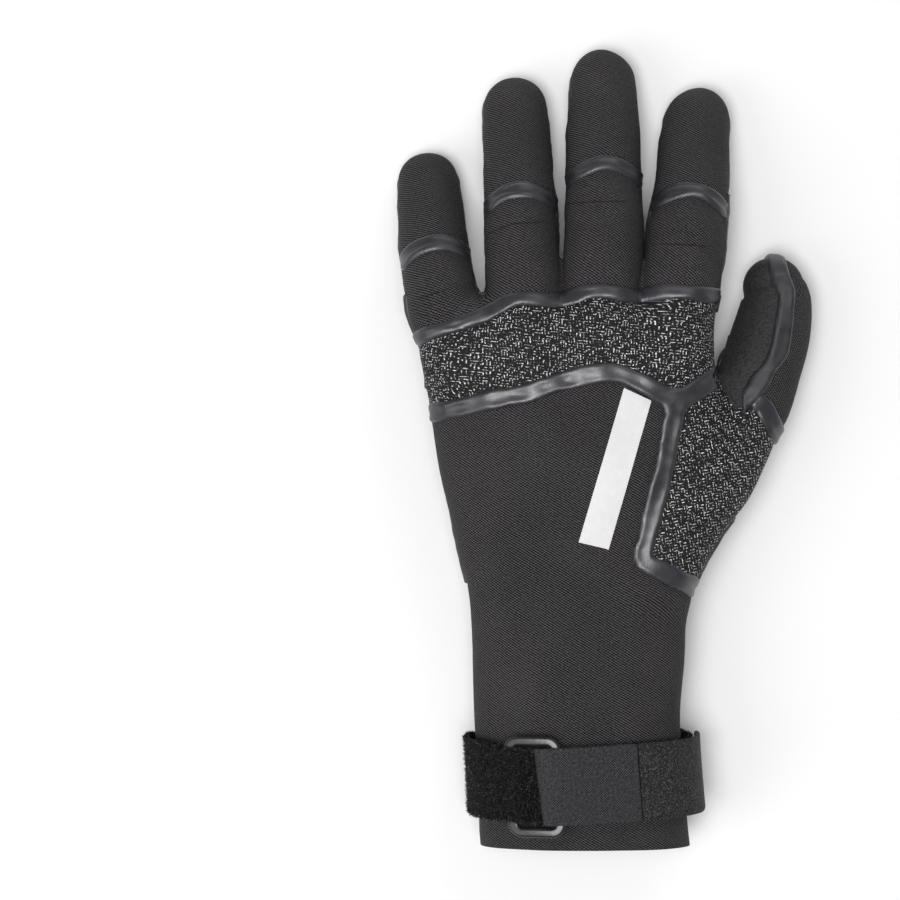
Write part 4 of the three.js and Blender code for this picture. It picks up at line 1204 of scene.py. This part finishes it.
# The webbing: a tight nylon band that is sewn to the pile's end, passes through the ring
# under its right bar, and comes back over itself.
WEB_ROWS = np.array([
    (PILE_END - 0.6, 0.02), (24, 0.02), (14, 0.02), (5.5, 0), (2.6, 0.4), (2.1, 1.04), (2.6, 1.78),
    (5.2, 2.12), (12, 2.06), (20, 1.55), (28, 1.15), (PILE_END + 1.5, 1.06),
])
webbing = Finish("nylon_webbing", roughness=0.7, specular_ior_level=0.4)
place, across_it, along_it = webbing.cloth()
fuzz = webbing.noise(place, 0.9, 3.0, 0.75)
cords = (across_it * 6.6).wave()
picks = (along_it * 6.6 + fuzz * 2.0).wave()
rib = (cords * picks + 1.0) * 0.5
lit = ((rib - 0.5) * 2.4 + (fuzz - 0.5) * 4.5 + 0.18).clear()
webbing.set("Base Color", webbing.mix(lit, grey(0.0012), (0.082, 0.0835, 0.092, 1)))
webbing.bump(rib + fuzz * 0.5, 0.3)
points, faces, places, _ = band(WEB_ROWS, WEB_THICKNESS, STRAP_WIDTH, skew=0.06)
make_piece("strap_web", points, faces, [webbing.material], "strap_webbing", None, places)

# The hook tape: sewn on from the webbing, it grips the pile round the thumb's side, and
# its stiff end stands off the strap as a pull tab.
HOOK_ROWS = np.array([
    (PILE_END + 1.9, 1.06), (43, 1.1), (50, 1.14), (55, 1.17), (60, 1.2), (64, 1.22), (68, 1.35),
    (71.5, 1.7), (74.5, 2.2),
])
hooks = Finish("hook_tape", roughness=0.75, specular_ior_level=0.4)
place, across_it, along_it = hooks.cloth()
speck = hooks.noise(place, 0.55, 3.0, 0.8)
rows_of_hooks = ((across_it * 5.6).wave() * (along_it * 5.0).wave() + 1.0) * 0.5
spark = ((speck - 0.5) * 7.0).clear()
hooks.set("Base Color", hooks.mix(spark * (rows_of_hooks * 0.7 + 0.3), grey(0.002), grey(0.15, 0.02)))
hooks.bump(speck + rows_of_hooks * 0.4, 0.45)
points, faces, places, _ = band(HOOK_ROWS, WEB_THICKNESS, STRAP_WIDTH)
make_piece("strap_hooks", points, faces, [hooks.material], "strap_hook_tab", None, places)

# The ring: an oblong frame moulded from black plastic with rounded edges, bent to the
# wrist. The strap hides all but its two short ends.
RING_LENGTH = 37.0
RING_WIDTH = 19.4
RING_BAR = 3.7
RING_CORNER = 5.0
RING_EDGE = 1.15
moulded = Finish("moulded_plastic", roughness=0.3, specular_ior_level=0.5)
place = moulded.solid()
skin_of_plastic = moulded.noise(place, 1.2, 3.0)
moulded.set("Base Color", moulded.mix(skin_of_plastic, grey(0.01), grey(0.02)))
moulded.set("Roughness", 0.24 + skin_of_plastic * 0.1)
moulded.bump(skin_of_plastic, 0.03)
oblong = rounded_bar(RING_WIDTH - RING_BAR, RING_LENGTH - RING_BAR, RING_CORNER - RING_BAR / 2, 12)
oblong_way = unit(np.roll(oblong, -1, axis=0) - np.roll(oblong, 1, axis=0))
oblong_out = np.stack([oblong_way[:, 1], -oblong_way[:, 0]], axis=1)
bar = rounded_bar(RING_BAR, RING_THICKNESS, RING_EDGE, 7)
flat = oblong[:, None, :] + oblong_out[:, None, :] * bar[None, :, :1]
height = layer_floor(1.0) + RING_THICKNESS / 2 + np.broadcast_to(bar[None, :, 1], flat.shape[:2])
grid = over_wrist(flat[..., 0], strap_middle(0.0) + flat[..., 1], height)
points, faces = closed_grid(grid, False)
make_piece("strap_oblong", points, [faces[0][:, ::-1]], [moulded.material], "strap_ring")

# The keepers: two short webbing bridges on the palm side that hold the strap down, folded
# under and sewn to the wrist at both ends.
KEEPER_WIDTH = 12.5
KEEPER_THICKNESS = 1.2
KEEPER_SEAM = 4.5
KEEPER_ROWS = np.array([  # place along the keeper and share of its rise over the strap
    (-1, 0), (-0.82, 0), (-0.77, 0.93), (-0.7, 1), (0.7, 1), (0.77, 0.93), (0.82, 0), (1, 0),
])
path = np.linspace(-1, 1, 81)
rise = np.interp(path, KEEPER_ROWS[:, 0], KEEPER_ROWS[:, 1])
floor = GAP + rise * (STRAP_GAP + PILE_THICKNESS)
bar = rounded_bar(KEEPER_WIDTH, KEEPER_THICKNESS, 0.5, 4)
heights = floor[:, None] + KEEPER_THICKNESS / 2 + bar[None, :, 1]
for name, share in (("thumb_side", 0.412), ("palm_side", 0.633)):
    around = share * GIRTH
    y = strap_middle(around) + path * (STRAP_WIDTH / 2 + KEEPER_SEAM)
    y = np.broadcast_to(y[:, None], heights.shape)
    way = np.array([np.interp(around, wrist_reach, wrist_way[:, k]) for k in range(3)])
    grid = over_wrist(np.full(heights.shape, around), y, heights) + way * bar[None, :, :1]
    points, faces = closed_grid(grid, True)
    faces = [part[:, ::-1] for part in faces]
    places = each_of(bar[None, :, 0], y, heights)
    places = np.concatenate([places, places[[0, -1]]])
    node = f"strap_keeper_{name}"
    make_piece(f"keeper_{name}", points, faces, [webbing.material], node, None, places)

# The studio: a pale sheet that the glove lies on, an even pale surrounding, and soft
# light from three large panels, the strongest one overhead.
SHEET_HEIGHT = -0.0005  # metres
floor_finish = Finish("pale_sheet", roughness=0.9, specular_ior_level=0.1)
place = floor_finish.solid()
floor_finish.set("Base Color", floor_finish.mix(floor_finish.noise(place, 200.0), grey(0.86), grey(0.9)))
mesh = bpy.data.meshes.new("floor")
corners = [(x, y, SHEET_HEIGHT) for x, y in ((-3, -3), (3, -3), (3, 3), (-3, 3))]
mesh.from_pydata(corners, [], [(0, 1, 2, 3)])
mesh.materials.append(floor_finish.material)
floor = bpy.data.objects.new("floor", mesh)
bpy.context.scene.collection.objects.link(floor)

world = bpy.data.worlds.new("studio")
world.use_nodes = True
surrounding = world.node_tree.nodes["Background"].inputs
surrounding["Color"].default_value = (1, 1, 1, 1)
surrounding["Strength"].default_value = 0.22
bpy.context.scene.world = world
bpy.context.scene.view_settings.view_transform = "Standard"
for name, place, size, power in (
    ("overhead_softbox", (-0.3, -0.2, 2.3), 1.0, 43.0),
    ("left_softbox", (-1.7, -0.7, 1.7), 1.4, 15.0),
    ("far_softbox", (0.7, 1.6, 1.7), 1.2, 7.0),
):
    light = bpy.data.lights.new(name, "AREA")
    light.size = size
    light.energy = power
    lamp = bpy.data.objects.new(name, light)
    bpy.context.scene.collection.objects.link(lamp)
    lamp.location = place
    lamp.rotation_euler = (-Vector(place)).to_track_quat("-Z", "Y").to_euler()

# The camera looks straight down from 1.25 m, as the photograph does, with the glove in the
# right half of the frame.
CAMERA_PLACE = np.array([-50, 146, 1250])  # from the rim's middle
PICTURE_WIDTH = 900 * 0.37  # at the height of 30 mm, where the back of the hand lies
camera = bpy.data.cameras.new("camera")
camera.sensor_width = 36
camera.lens = 36 * (CAMERA_PLACE[2] - 30) / PICTURE_WIDTH
camera.clip_start = 0.1
eye = bpy.data.objects.new("camera", camera)
eye.location = (CAMERA_PLACE - ORIGIN) / 1000
bpy.context.scene.collection.objects.link(eye)
bpy.context.scene.camera = eye

low, high = cad_box
